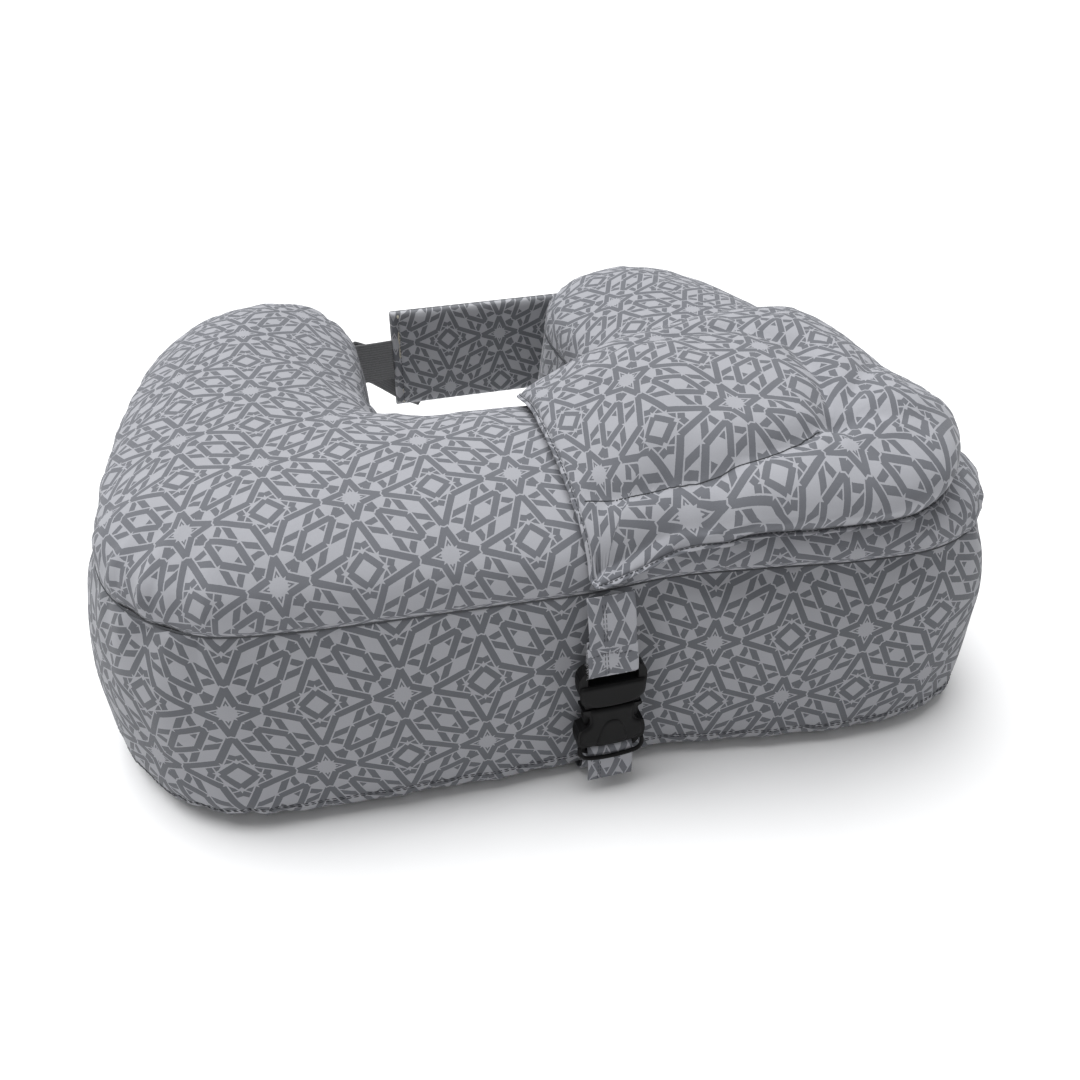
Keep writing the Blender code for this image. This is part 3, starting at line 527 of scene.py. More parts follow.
MAT_TOP = print_material("printed_cotton_top", offset=(0.1215, 0.139))
# the side band's print is a darker copy of the top's print: painted shade for the walls, which face away from the
# overhead light
MAT_BAND_PAINTED_SHADE = print_material("printed_cotton_band_painted_shade", offset=(0.0160, -0.0935), dark=(0.118, 0.123, 0.136), light=(0.325, 0.329, 0.352))
MAT_BOTTOM = print_material("printed_cotton_bottom", offset=(0.03, 0.02))
MAT_HEAD = print_material("printed_cotton_head", offset=(-0.0345, 0.117), angle=math.radians(-7.0))
MAT_STRAP = print_material("printed_cotton_strap", offset=(0.030, 0.020), angle=math.radians(45.0))
# the back panel's print is a lighter copy of the same print: painted light on a panel that sits in the shade of the
# arms
MAT_PANEL_PAINTED_LIGHT = print_material("printed_cotton_panel_painted_light", offset=(-0.004, -0.060), dark=(0.170, 0.175, 0.188), light=(0.440, 0.444, 0.465))
MAT_LINING = noisy_material("lining_cloth", (0.62, 0.60, 0.56), (0.74, 0.73, 0.70), 900, sheen=0.1)
MAT_FIBRE = noisy_material("fibre_filling", (0.72, 0.72, 0.70), (0.88, 0.88, 0.86), 220, bump=0.6, distance=0.002)
MAT_FOAM = noisy_material("foam", (0.60, 0.56, 0.44), (0.76, 0.72, 0.60), 700, bump=0.5, distance=0.0008)
MAT_WEB = webbing_material("grey_webbing")
MAT_BLACK = plastic_material("black_acetal")
MAT_THREAD = noisy_material("stitch_thread", (0.045, 0.047, 0.052), (0.085, 0.088, 0.095), 1800, bump=0.4, distance=0.0002)
MAT_THREAD_PALE = noisy_material("stitch_thread_pale", (0.32, 0.32, 0.34), (0.48, 0.48, 0.50), 1800, bump=0.4, distance=0.0002)
MAT_TAPE = noisy_material("zip_tape", (0.22, 0.22, 0.23), (0.32, 0.32, 0.33), 1200, bump=0.3, distance=0.0003)
MAT_NYLON = noisy_material("zip_nylon", (0.26, 0.26, 0.27), (0.36, 0.36, 0.37), 500, rough=(0.35, 0.5), bump=0.1)
MAT_METAL = noisy_material("zip_metal", (0.46, 0.46, 0.47), (0.60, 0.60, 0.61), 300, rough=(0.25, 0.42), bump=0.08, metal=1.0, spec=0.5)

# ------------------------------------------------------------------ stitches
def stitches(name, pts, normals, body, pitch=0.0034, length=0.0025, radius=0.00028, mat=None, lift=0.00010):
    """A row of thread stitches laid along a line of surface points."""
    pts, normals = np.asarray(pts, float), np.asarray(normals, float)
    s = np.r_[0, np.cumsum(np.linalg.norm(np.diff(pts, axis=0), axis=1))]
    count = max(1, int(s[-1] / pitch))
    verts, faces = [], []
    ring = [(math.cos(2 * math.pi * k / 6), math.sin(2 * math.pi * k / 6)) for k in range(6)]
    for n in range(count):
        mid = (n + 0.5) * pitch
        rows = []
        for m, (f, w, sink) in enumerate(((-0.5, 0.25, -0.7), (-0.38, 0.85, 0.1), (0.0, 1.0, 0.6), (0.38, 0.85, 0.1), (0.5, 0.25, -0.7))):
            at = np.clip(mid + f * length, 0, s[-1])
            p = np.array([np.interp(at, s, pts[:, k]) for k in range(3)])
            nn = np.array([np.interp(at, s, normals[:, k]) for k in range(3)])
            nn /= np.linalg.norm(nn) + 1e-12
            q = np.array([np.interp(min(at + 0.0005, s[-1]), s, pts[:, k]) - np.interp(max(at - 0.0005, 0), s, pts[:, k]) for k in range(3)])
            q /= np.linalg.norm(q) + 1e-12
            side = np.cross(q, nn)
            c = p + nn * (lift + sink * radius)
            rows.append(len(verts))
            for a, b in ring:
                verts.append(c + (side * a + nn * b) * radius * w)
        for r in range(4):
            for k in range(6):
                m = (k + 1) % 6
                faces.append((rows[r] + k, rows[r] + m, rows[r + 1] + m, rows[r + 1] + k))
        faces.append(tuple(rows[0] + k for k in reversed(range(6))))
        faces.append(tuple(rows[4] + k for k in range(6)))
    obj = mesh_object(name, verts, faces, mat=mat or MAT_THREAD, weld=0)
    face_out(obj)
    return place(obj, body)


# ------------------------------------------------------------------ main cushion cover
NS = 300
OUTER, INNER = spline(whole(LEFT_OUTER, RIGHT_OUTER), NS), spline(whole(LEFT_INNER, RIGHT_INNER), NS)
LOOP = loop_of(OUTER, INNER)
LOOP_N = loop_normals(LOOP)
LOOP_S = np.r_[0, np.cumsum(np.linalg.norm(np.diff(LOOP, axis=0), axis=1))]
START_S = LOOP_S[np.argmin(np.abs(OUTER[:, 0]) + (OUTER[:, 1] > 0) * 9)]      # arc length at the middle of the front


def cushion_height(xy):
    d, _, _ = nearest(xy, LOOP)
    return np.where(inside(xy, LOOP), SEAM_Z + CROWN * dome(d, CROWN_REACH), SEAM_Z)


# extra length of cloth between a point and the crown, because the crown is steep at its seam
_d = np.linspace(0, CROWN_REACH, 400)
_h = CROWN * dome(_d, CROWN_REACH)
_extra = np.r_[0, np.cumsum(np.hypot(np.diff(_d), np.diff(_h)) - np.diff(_d))]
_extra = _extra[-1] - _extra


def corner_weight(p):
    """Where the sewn corners gather the cloth most."""
    w = np.zeros(len(p))
    for x, y, r, k in ((-0.235, -0.165, 0.060, 1.0), (0.245, -0.190, 0.050, 0.6), (-0.086, 0.008, 0.030, 1.2), (0.068, 0.004, 0.03, 0.8),
                       (-0.165, 0.205, 0.05, 0.8), (0.160, 0.205, 0.05, 0.8), (-0.11, 0.185, 0.03, 0.7), (0.09, 0.185, 0.03, 0.7)):
        w += k * np.exp(-((p[:, 0] - x) ** 2 + (p[:, 1] - y) ** 2) / r ** 2)
    return w


def seam_puckers(s, d, p, seed, reach=0.014):
    """Small gathers that run away from a seam; s is the place along it and d the distance from it."""
    q = np.stack([s, d * 0.35, np.zeros(len(s))], 1)
    n = noise_at(q, (0.0085, 0.03, 1), seed) + 0.6 * noise_at(q, (0.0042, 0.03, 1), seed + 7)
    wide = noise_at(q, (0.022, 0.06, 1), seed + 3)
    c = corner_weight(p)
    return (0.0013 + 0.0024 * c) * n * np.exp(-d / reach) + (0.0015 + 0.0036 * c) * wide * np.exp(-d / (reach * 2.6))


def cushion_top_cover():
    K = 60
    t = 0.5 - 0.5 * np.cos(np.pi * np.linspace(0, 1, K + 1))
    xy = OUTER[:, None] * (1 - t)[None, :, None] + INNER[:, None] * t[None, :, None]
    flat = xy.reshape(-1, 2)
    d, n, s = nearest(flat, LOOP)
    z = SEAM_Z + 0.0005 + CROWN * dome(d, CROWN_REACH)
    uv = flat + n * np.interp(d, _d, _extra)[:, None]
    P = np.c_[flat, z].reshape(NS + 1, K + 1, 3)
    # the crown bulges a little past its seam
    push = 0.0024 * np.clip(d / 0.010, 0, 1) * np.exp(-d / 0.016) * 2.2
    puff = 0.0055 * np.exp(-(((flat[:, 0] - 0.262) / 0.035) ** 2 + ((flat[:, 1] + 0.165) / 0.05) ** 2)) * np.exp(-d / 0.03) * np.clip(d / 0.004, 0, 1)
    P[..., :2] += (n * (push + puff)[:, None]).reshape(NS + 1, K + 1, 2)
    N = grid_normals(P)
    N[N[..., 2] < 0] *= -1
    lumps = 0.0016 * noise_at(np.c_[flat, np.zeros(len(flat))], (0.075, 0.075, 1), 2.3) + 0.0007 * noise_at(np.c_[flat, np.zeros(len(flat))], (0.032, 0.032, 1), 5.1)
    h = lumps * smoothstep(0.0, 0.03, d) + seam_puckers(s, d, flat, 11.0) * smoothstep(0.0, 0.003, d)
    # folds that the inner corners and the head strap draw into the crown
    for pts, depth, width in (([(-0.086, 0.004), (-0.112, -0.030)], 0.0035, 0.010), ([(-0.080, -0.002), (-0.096, -0.044)], 0.0022, 0.008),
                              ([(-0.250, -0.150), (-0.222, -0.120)], 0.0020, 0.010), ([(-0.236, -0.176), (-0.205, -0.150)], 0.0018, 0.009),
                              ([(0.012, -0.012), (0.010, -0.055)], 0.0018, 0.020), ([(0.248, -0.192), (0.222, -0.168)], 0.0020, 0.012)):
        ld, la = line_distance(flat, pts)
        h -= depth * np.exp(-(ld / width) ** 2) * (1 - 0.75 * la)
    P += N * h.reshape(NS + 1, K + 1, 1)
    # the seam allowance turns down inside
    rim_in = OUTER - loop_normals(LOOP)[:NS + 1] * 0.0022
    verts = [P.reshape(-1, 3)]
    faces = grid_faces(NS + 1, K + 1)
    base = len(P.reshape(-1, 3))
    order = np.r_[np.arange(NS + 1) * (K + 1), (np.arange(NS + 1) * (K + 1) + K)[1:-1][::-1]]
    ring = LOOP - LOOP_N * 0.0022
    verts.append(np.c_[ring, np.full(len(ring), SEAM_Z + 0.0003)])
    m = len(order)
    for i in range(m):
        j = (i + 1) % m
        faces.append((order[i], base + i, base + j, order[j]))
    uvs = np.vstack([uv, uv[order]])
    obj = mesh_object("cushion_top_panel_cloth", np.vstack(verts), faces, uvs, MAT_TOP, weld=1e-5)
    face_out(obj)
    if sum(f.normal.z * f.area for f in obj.data.polygons) < 0:
        obj.data.flip_normals()
    mod = obj.modifiers.new("cloth", "SOLIDIFY")
    mod.thickness, mod.offset = 0.0009, -1
    return obj, P


def belly(v, p):
    v = np.clip(v, 0, 1)
    profile = np.maximum(0, 1 - np.abs(v - 0.42) ** 2.6 / 0.58 ** 2.6) * np.minimum(1, 0.45 + v / 0.12)
    opening = (p[:, 1] > -0.06) & (np.abs(p[:, 0]) < 0.13) & (p[:, 1] < 0.17)
    reach = 1.0 - 0.85 * smoothstep(-0.06, 0.07, p[:, 1])
    belt = 1.0 - 0.62 * np.exp(-((p[:, 0] - STRAP_X) / 0.045) ** 2) * (1 - smoothstep(-0.16, -0.12, p[:, 1]))
    return np.where(opening, BAND_BULGE * 0.45, BAND_BULGE * reach * belt)[None, :] * profile[:, None]


def cushion_band():
    v = np.r_[0.0, 0.012, 0.03, np.linspace(0.055, 0.93, 34), 0.955, 0.975, 0.988, 0.996, 1.0]
    M = len(LOOP)
    off = belly(v, LOOP)
    foot = 0.0034 * (1 - np.minimum(1, v / 0.055))[:, None]
    z0, z1 = 0.0008, SEAM_Z - 0.0004
    P = np.empty((M, len(v), 3))
    P[..., :2] = LOOP[:, None] + LOOP_N[:, None] * (off - foot).T[..., None]
    P[..., 2] = (z0 + (z1 - z0) * v)[None]
    N = grid_normals(P, closed=True)
    flip = (N[..., :2] * LOOP_N[:, None]).sum(-1) < 0
    N[flip] *= -1
    s = np.repeat(LOOP_S[:, None], len(v), 1).ravel()
    zz = P[..., 2].ravel()
    flat = P.reshape(-1, 3)
    from_top, from_bottom = SEAM_Z - zz, zz
    # cloth length up the wall, for the print
    rise = np.r_[0, np.cumsum(np.linalg.norm(np.diff(P[int(NS * 0.35)], axis=0), axis=1))]
    uv = np.c_[s - START_S, np.repeat((rise - rise[len(rise) // 2] + P[0, len(rise) // 2, 2])[None], M, 0).ravel()]
    q = np.c_[s, zz, np.zeros(len(s))]
    h = (0.0026 * noise_at(q, (0.085, 0.065, 1), 4.4) + 0.0009 * noise_at(q, (0.035, 0.03, 1), 8.2)) * smoothstep(0, 0.02, from_top) * smoothstep(0, 0.02, from_bottom)
    h += seam_puckers(s, from_top, flat, 21.0, 0.016) * smoothstep(0, 0.003, from_top)
    h += seam_puckers(s, from_bottom, flat, 31.0, 0.012) * smoothstep(0, 0.003, from_bottom) * 1.3
    # the lower edge is gathered near the left front corner, and the filling rolls out above it
    left = np.exp(-(((flat[:, 0] + 0.225) / 0.050) ** 2 + ((flat[:, 1] + 0.175) / 0.050) ** 2))
    h += 0.0050 * left * np.exp(-((zz - 0.022) / 0.016) ** 2)
    for x, y, dz, depth, width in ((-0.205, -0.197, 0.0, 0.0045, 0.0035), (-0.190, -0.200, 0.004, 0.0022, 0.0030), (-0.232, -0.176, 0.003, 0.0022, 0.0035)):
        near = np.exp(-(((flat[:, 0] - x) / width) ** 2)) * (np.abs(flat[:, 1] - y) < 0.03)
        h -= depth * near * np.exp(-from_bottom / 0.016)
    # soft upright hollows beside the belt and between the corners
    for x, depth, width in ((STRAP_X - 0.026, 0.0016, 0.007), (STRAP_X + 0.026, 0.0018, 0.007)):
        h -= depth * np.exp(-((flat[:, 0] - x) / width) ** 2) * (flat[:, 1] < -0.17) * smoothstep(0.01, 0.05, zz) * smoothstep(0.0, 0.03, from_top)
    P += N * h.reshape(M, len(v), 1)
    P[..., 2] = np.maximum(P[..., 2], 0.0007)
    # the belt lies in a notch of the lower edge
    verts, faces = [P.reshape(-1, 3)], grid_faces(M, len(v), closed=True)
    base = M * len(v)
    top_ring = np.c_[LOOP - LOOP_N * 0.0022, np.full(M, SEAM_Z - 0.0002)]
    low_ring = np.c_[LOOP - LOOP_N * 0.0065, np.full(M, 0.0009)]
    under = (np.abs(LOOP[:, 0] - STRAP_X) < STRAP_W / 2 + 0.002) & (LOOP[:, 1] < 0.03)
    low_ring[under, 2] = 0.0036
    verts += [top_ring, low_ring]
    for i in range(M):
        j = (i + 1) % M
        last = len(v) - 1
        faces.append((i * len(v) + last, j * len(v) + last, base + j, base + i))
        faces.append((i * len(v), base + M + i, base + M + j, j * len(v)))
    P2 = verts[0].reshape(M, len(v), 3)
    for k, lift in ((0, 0.0036), (1, 0.0038), (2, 0.0048)):
        P2[under, k, 2] = np.maximum(P2[under, k, 2], lift)
    uvs = np.vstack([uv, uv.reshape(M, len(v), 2)[:, -1], uv.reshape(M, len(v), 2)[:, 0]])
    # the print's seam goes to the back of the left arm's tip, where the loop starts
    dup = []
    obj = mesh_object("cushion_side_band_cloth", np.vstack(verts), faces, None, MAT_BAND_PAINTED_SHADE, weld=0)
    mesh = obj.data
    layer = mesh.uv_layers.new(name="Cloth")
    total = LOOP_S[-1] + np.linalg.norm(LOOP[0] - LOOP[-1])
    buf = np.empty((len(mesh.loops), 2), np.float32)
    for poly in mesh.polygons:
        ids = list(poly.vertices)
        us = uvs[ids].copy()
        if np.ptp(us[:, 0]) > total / 2:
            us[us[:, 0] < us[:, 0].max() - total / 2, 0] += total
        for li, u in zip(poly.loop_indices, us):
            buf[li] = u
    layer.uv.foreach_set("vector", buf.ravel())
    face_out(obj)
    mod = obj.modifiers.new("cloth", "SOLIDIFY")
    mod.thickness, mod.offset = 0.0008, -1
    return obj, P


def groove(x, y):
    away = np.maximum(np.maximum(STRAP_X - STRAP_W / 2 - 0.003 - x, x - STRAP_X - STRAP_W / 2 - 0.003), 0)
    s = np.clip(1 - away / 0.012, 0, 1)
    return np.where(y > 0.02, 0, 0.0026 * s * s * (3 - 2 * s))


top_cloth, TOP_P = cushion_top_cover()
band_cloth, BAND_P = cushion_band()
place(top_cloth, "cushion", ("main_top_panel",))
place(band_cloth, "cushion", ("main_side_band",))

def tube(name, pts, radius, body, mat, closed=False, sides=6):
    pts = np.asarray(pts, float)
    m = len(pts)
    nxt = np.roll(pts, -1, 0) if closed else np.vstack([pts[1:], pts[-1:] * 2 - pts[-2:-1]])
    prv = np.roll(pts, 1, 0) if closed else np.vstack([pts[:1] * 2 - pts[1:2], pts[:-1]])
    t = nxt - prv
    t /= np.linalg.norm(t, axis=1, keepdims=True)
    side = np.cross(t, (0, 0, 1.0))
    bad = np.linalg.norm(side, axis=1) < 1e-3
    side[bad] = (1, 0, 0)
    side /= np.linalg.norm(side, axis=1, keepdims=True)
    over = np.cross(side, t)
    verts = np.concatenate([pts[:, None] + radius * (side[:, None] * math.cos(2 * math.pi * k / sides) + over[:, None] * math.sin(2 * math.pi * k / sides)) for k in range(sides)], 1)
    faces = []
    for i in range(m if closed else m - 1):
        j = (i + 1) % m
        for k in range(sides):
            q = (k + 1) % sides
            faces.append((i * sides + k, i * sides + q, j * sides + q, j * sides + k))
    if not closed:
        faces.append(tuple(reversed(range(sides))))
        faces.append(tuple((m - 1) * sides + k for k in range(sides)))
    obj = mesh_object(name, verts.reshape(-1, 3), faces, mat=mat, weld=0)
    face_out(obj)
    return place(obj, body)


# a continuous dark cord laid in the top seam's groove: painted shade for the groove
tube("top_seam_painted_shade_cord", np.c_[LOOP - LOOP_N * 0.0002, np.full(len(LOOP), SEAM_Z + 0.0001)], 0.00066, "cushion", MAT_THREAD, closed=True)
# two rows of stitching that close the lower seam
lowN = np.c_[LOOP_N, np.zeros(len(LOOP))]
for k, row in ((0, 5), (1, 6)):
    line = BAND_P[:, row] if k == 0 else BAND_P[:, row] * 0.5 + BAND_P[:, row - 1] * 0.5
    obj = stitches("lower_seam_stitches_%d" % (k + 1), np.vstack([line, line[:1]]), np.vstack([lowN, lowN[:1]]), "cushion", pitch=0.0042, length=0.0031)

# ------------------------------------------------------------------ materials on the carried-over CAD nodes
for names, mat in ((("main_bottom_panel",), MAT_BOTTOM), (("lining_upper", "lining_lower"), MAT_LINING),
                   (("main_fill", "head_pillow_fill"), MAT_FIBRE), (("back_panel_foam",), MAT_FOAM),
                   (("zip_tape_left", "zip_tape_right"), MAT_TAPE), (("zip_coil",), MAT_NYLON), (("zip_slider",), MAT_METAL),
                   (("front_buckle_socket", "front_buckle_plug", "front_prong_left", "front_prong_right",
                     "waist_buckle_socket", "waist_buckle_plug", "waist_prong_lower", "waist_prong_upper"), MAT_BLACK),
                   (("back_panel_inner_cover", "back_panel_outer_cover", "back_panel_anchor"), MAT_PANEL_PAINTED_LIGHT),
                   (("head_strap", "belt_under_bar"), MAT_STRAP), (("waist_webbing", "waist_webbing_tail", "waist_anchor_tab"), MAT_WEB),
                   (("head_pillow_top_cover", "head_pillow_bottom_cover", "head_pillow_tack"), MAT_HEAD)):
    for n in names:
        NODES[n].data.materials.clear()
        NODES[n].data.materials.append(mat)


def cad_uv(name, fn):
    """Cloth coordinates for a carried-over node, from a function of its points."""
    mesh = NODES[name].data
    for old in list(mesh.uv_layers):
        mesh.uv_layers.remove(old)
    layer = mesh.uv_layers.new(name="Cloth")
    co = np.empty(len(mesh.vertices) * 3, np.float32)
    mesh.vertices.foreach_get("co", co)
    uv = fn(co.reshape(-1, 3))
    idx = np.empty(len(mesh.loops), np.int32)
    mesh.loops.foreach_get("vertex_index", idx)
    layer.uv.foreach_set("vector", uv[idx].astype(np.float32).ravel())


cad_uv("main_bottom_panel", lambda c: c[:, :2])
for n in ("back_panel_inner_cover", "back_panel_outer_cover", "back_panel_anchor"):
    cad_uv(n, lambda c: c[:, [0, 2]])
for n in ("head_strap", "belt_under_bar"):
    cad_uv(n, lambda c: np.c_[c[:, 0], c[:, 2] + c[:, 1]])
for n in ("waist_webbing", "waist_webbing_tail", "waist_anchor_tab"):
    cad_uv(n, lambda c: c[:, [0, 2]])
for n in ("head_pillow_top_cover", "head_pillow_bottom_cover", "head_pillow_tack"):
    cad_uv(n, lambda c: c[:, :2])

for n in ("front_buckle_socket", "front_buckle_plug", "front_prong_left", "front_prong_right",
          "waist_buckle_socket", "waist_buckle_plug", "waist_prong_lower", "waist_prong_upper"):
    o = NODES[n]
    mod = o.modifiers.new("moulded_edges", "BEVEL")
    mod.width, mod.segments, mod.limit_method, mod.angle_limit = 0.0007, 3, "ANGLE", math.radians(32)
    o.data.shade_smooth()
    o.data.set_sharp_from_angle(angle=math.radians(60))

# ------------------------------------------------------------------ head pillow
HS = 120
HEAD_FRONT = [(0.0030, -0.2120), (0.0300, -0.2085), (0.0600, -0.2045), (0.0900, -0.2060), (0.1300, -0.2120),
              (0.1750, -0.2140), (0.2080, -0.2060), (0.2310, -0.1840), (0.2420, -0.1450)]
HEAD_BACK = [(0.0030, -0.2120), (0.0010, -0.1500), (0.0020, -0.0850), (0.0080, -0.0300), (0.0560, -0.0130),
             (0.1160, -0.0060), (0.1760, -0.0060), (0.2240, -0.0280), (0.2420, -0.1450)]
HF, HB = spline(HEAD_FRONT, HS), spline(HEAD_BACK, HS)
HEAD = loop_of(HF, HB)
HEAD_N = loop_normals(HEAD)
TUFT = np.array((0.157, -0.168))
DIMPLE = np.array((0.150, -0.060))


def head_lift(xy):
    """The filled front lobe holds its seam clear of the cushion."""
    return 0.0095 * smoothstep(0.055, 0.095, xy[:, 0]) * (1 - smoothstep(-0.192, -0.150, xy[:, 1])) * (1 - smoothstep(0.205, 0.235, xy[:, 0]))


def head_rim(xy):
    hang = 0.1480 + 0.0150 * np.clip(xy[:, 0] / 0.065, 0, 1)
    d, _, _ = nearest(xy, LOOP)
    edge = np.where(inside(xy, LOOP), d, 0.0)
    return np.maximum(cushion_height(xy) + 0.0076 + 0.0050 * np.exp(-edge / 0.012), hang) + head_lift(xy)


def head_relief(xy, d):
    """How far the sewing pulls the filled top down: tufts, the creases between them, the yoke seam."""
    r = np.linalg.norm(xy - TUFT, axis=1)
    pull = (0.0165 * np.exp(-(r / 0.013) ** 0.9)) ** 3
    ang = np.arctan2(xy[:, 1] - TUFT[1], xy[:, 0] - TUFT[0])
    r2 = np.linalg.norm(xy - DIMPLE, axis=1)
    pull += (0.0045 * np.exp(-(r2 / 0.018) ** 1.4)) ** 3
    for pts, d0, d1, w0, w1 in (
            ([(-0.002, -0.175), (0.030, -0.179), (0.080, -0.182), (0.128, -0.178), (0.157, -0.168)], 0.0056, 0.0125, 0.0055, 0.0110),
            ([(0.050, -0.070), (0.100, -0.060), (0.145, -0.064), (0.168, -0.092), (0.166, -0.132), (0.157, -0.168)], 0.0040, 0.0130, 0.0090, 0.0125),
            ([(0.157, -0.168), (0.185, -0.176), (0.216, -0.184)], 0.0110, 0.0006, 0.010, 0.008),
            ([(0.157, -0.168), (0.200, -0.134), (0.232, -0.100)], 0.0110, 0.0006, 0.011, 0.010),
            ([(0.150, -0.060), (0.188, -0.044), (0.215, -0.036)], 0.0035, 0.0006, 0.009, 0.010),
            ([(0.150, -0.060), (0.140, -0.030), (0.136, -0.012)], 0.0025, 0.0006, 0.008, 0.008),
            ([(0.062, -0.210), (0.066, -0.198), (0.074, -0.186)], 0.0105, 0.0006, 0.0036, 0.005),
            ([(0.074, -0.210), (0.076, -0.201), (0.082, -0.192)], 0.0050, 0.0004, 0.0030, 0.004),
            ([(0.157, -0.168), (0.118, -0.148), (0.080, -0.132)], 0.0035, 0.0002, 0.006, 0.010),
            ([(0.157, -0.168), (0.152, -0.186), (0.150, -0.200)], 0.0030, 0.0002, 0.005, 0.007)):
        ld, la = line_distance(xy, pts)
        pull += ((d0 + (d1 - d0) * la) * np.exp(-(ld / (w0 + (w1 - w0) * la)) ** 1.15)) ** 3
    return np.cbrt(pull) + 0.0009 * np.cos(ang * 9 + 0.8) * np.exp(-((r - 0.018) / 0.010) ** 2)


def head_push(v):
    """The filled front lobe overhangs the seam towards the front."""
    v = np.array(v, float)
    x, y = v[..., 0], v[..., 1]
    v[..., 1] = y - 0.0125 * smoothstep(0.050, 0.082, x) * (1 - smoothstep(0.200, 0.240, x)) * (1 - smoothstep(-0.200, -0.120, y))
    return v


def head_pillow():
    K = 84
    t = 0.5 - 0.5 * np.cos(np.pi * np.linspace(0, 1, K + 1))
    xy = (HF[:, None] * (1 - t)[None, :, None] + HB[:, None] * t[None, :, None]).reshape(-1, 2)
    d, n, s = nearest(xy, HEAD)
    rim = head_rim(xy)
    full = smoothstep(0.030, 0.095, xy[:, 0])
    reach = HEAD_REACH - 0.034 * full * smoothstep(-0.12, -0.19, xy[:, 1])
    flap = 0.24 + 0.76 * smoothstep(0.004, 0.100, xy[:, 0] + 0.25 * np.clip(xy[:, 1] + 0.19, 0, 0.1))
    thick = (HEAD_FILL_H - 0.003 * full) * dome(d, reach) * flap
    thick = thick * (1 - 0.24 * full * (1 - smoothstep(-0.190, -0.160, xy[:, 1])))
    body = np.maximum(thick - head_relief(xy, d) * smoothstep(0.0, 0.010, d), 0.0022 * np.minimum(1, d / 0.004))
    # the front lobe and the right end swell out over their seam
    swell = 0.0085 * full * (1 - smoothstep(-0.17, -0.10, xy[:, 1])) + 0.0016 * smoothstep(0.10, 0.20, xy[:, 0])
    out = swell * np.sin(np.pi * np.clip(d / 0.022, 0, 1) ** 0.6)
    top = np.c_[xy + n * out[:, None], rim + body]
    P = top.reshape(HS + 1, K + 1, 3)
    N = grid_normals(P)
    N[N[..., 2] < 0] *= -1
    q = np.c_[s, d * 0.4, np.zeros(len(s))]
    edge_p = 0.0011 * noise_at(q, (0.010, 0.03, 1), 41.0) + 0.0007 * noise_at(q, (0.0055, 0.03, 1), 43.0)
    h = edge_p * np.exp(-d / 0.016) * smoothstep(0, 0.004, d)
    h += 0.0015 * noise_at(top, (0.045, 0.045, 0.045), 47.0) * smoothstep(0, 0.03, d)
    h += 0.0006 * noise_at(top, (0.016, 0.016, 0.016), 49.0) * smoothstep(0, 0.03, d)
    P += N * h.reshape(HS + 1, K + 1, 1)
    _h2 = np.clip(d / HEAD_REACH, 0, 1)
    extra = 0.016 * (1 - _h2) ** 2
    uv = xy + n * extra[:, None]
    low = np.c_[xy, rim - 0.0032 * dome(d, 0.012) - 0.0004].reshape(HS + 1, K + 1, 3)
    ring = np.c_[HEAD, head_rim(HEAD)]
    verts = np.vstack([P.reshape(-1, 3), low.reshape(-1, 3)])
    faces = grid_faces(HS + 1, K + 1) + grid_faces(HS + 1, K + 1, base=(HS + 1) * (K + 1), flip=True)
    order = np.r_[np.arange(HS + 1) * (K + 1), (np.arange(HS + 1) * (K + 1) + K)[1:-1][::-1]]
    # a sewn flange stands out all round, the two cloths pressed together
    rings, m = [], len(order)
    wave = 0.0006 * noise_at(np.c_[np.arange(m) * 0.01, np.zeros(m), np.zeros(m)], (0.04, 1, 1), 3.0)
    outs = [(0.0012, 0.0006), (0.0026, 0.0005), (0.0031, 0.0), (0.0026, -0.0005), (0.0012, -0.0006)]
    droop = 0.0012
    for o, dz in outs:
        ringp = np.c_[HEAD + HEAD_N * o, head_rim(HEAD) + dz + wave - droop * o / 0.0031]
        rings.append(ringp)
    base = len(verts)
    verts = np.vstack([verts] + rings)
    half = (HS + 1) * (K + 1)
    chain = [order] + [base + k * m + np.arange(m) for k in range(len(rings))] + [order + half]
    for a, b in zip(chain[:-1], chain[1:]):
        for i in range(m):
            j = (i + 1) % m
            faces.append((a[i], b[i], b[j], a[j]))
    uv_all = np.vstack([uv, uv] + [uv[order] + HEAD_N * (k + 1) * 0.002 for k in range(len(rings))])
    obj = mesh_object("head_pillow_cloth", head_push(verts), faces, uv_all, MAT_HEAD, weld=1e-5)
    face_out(obj)
    return obj, head_push(P), [head_push(r) for r in rings]


head_cloth, HEAD_P, HEAD_RINGS = head_pillow()
place(head_cloth, "head_pillow", ("head_pillow_top_cover", "head_pillow_bottom_cover", "head_pillow_fill", "head_pillow_tack"))
up_n = np.tile((0, 0, 1.0), (len(HEAD), 1))
stitches("flange_stitches", np.vstack([HEAD_RINGS[0], HEAD_RINGS[0][:1]]), np.vstack([up_n, up_n[:1]]), "head_pillow", pitch=0.0032, length=0.0023, lift=0.0002)

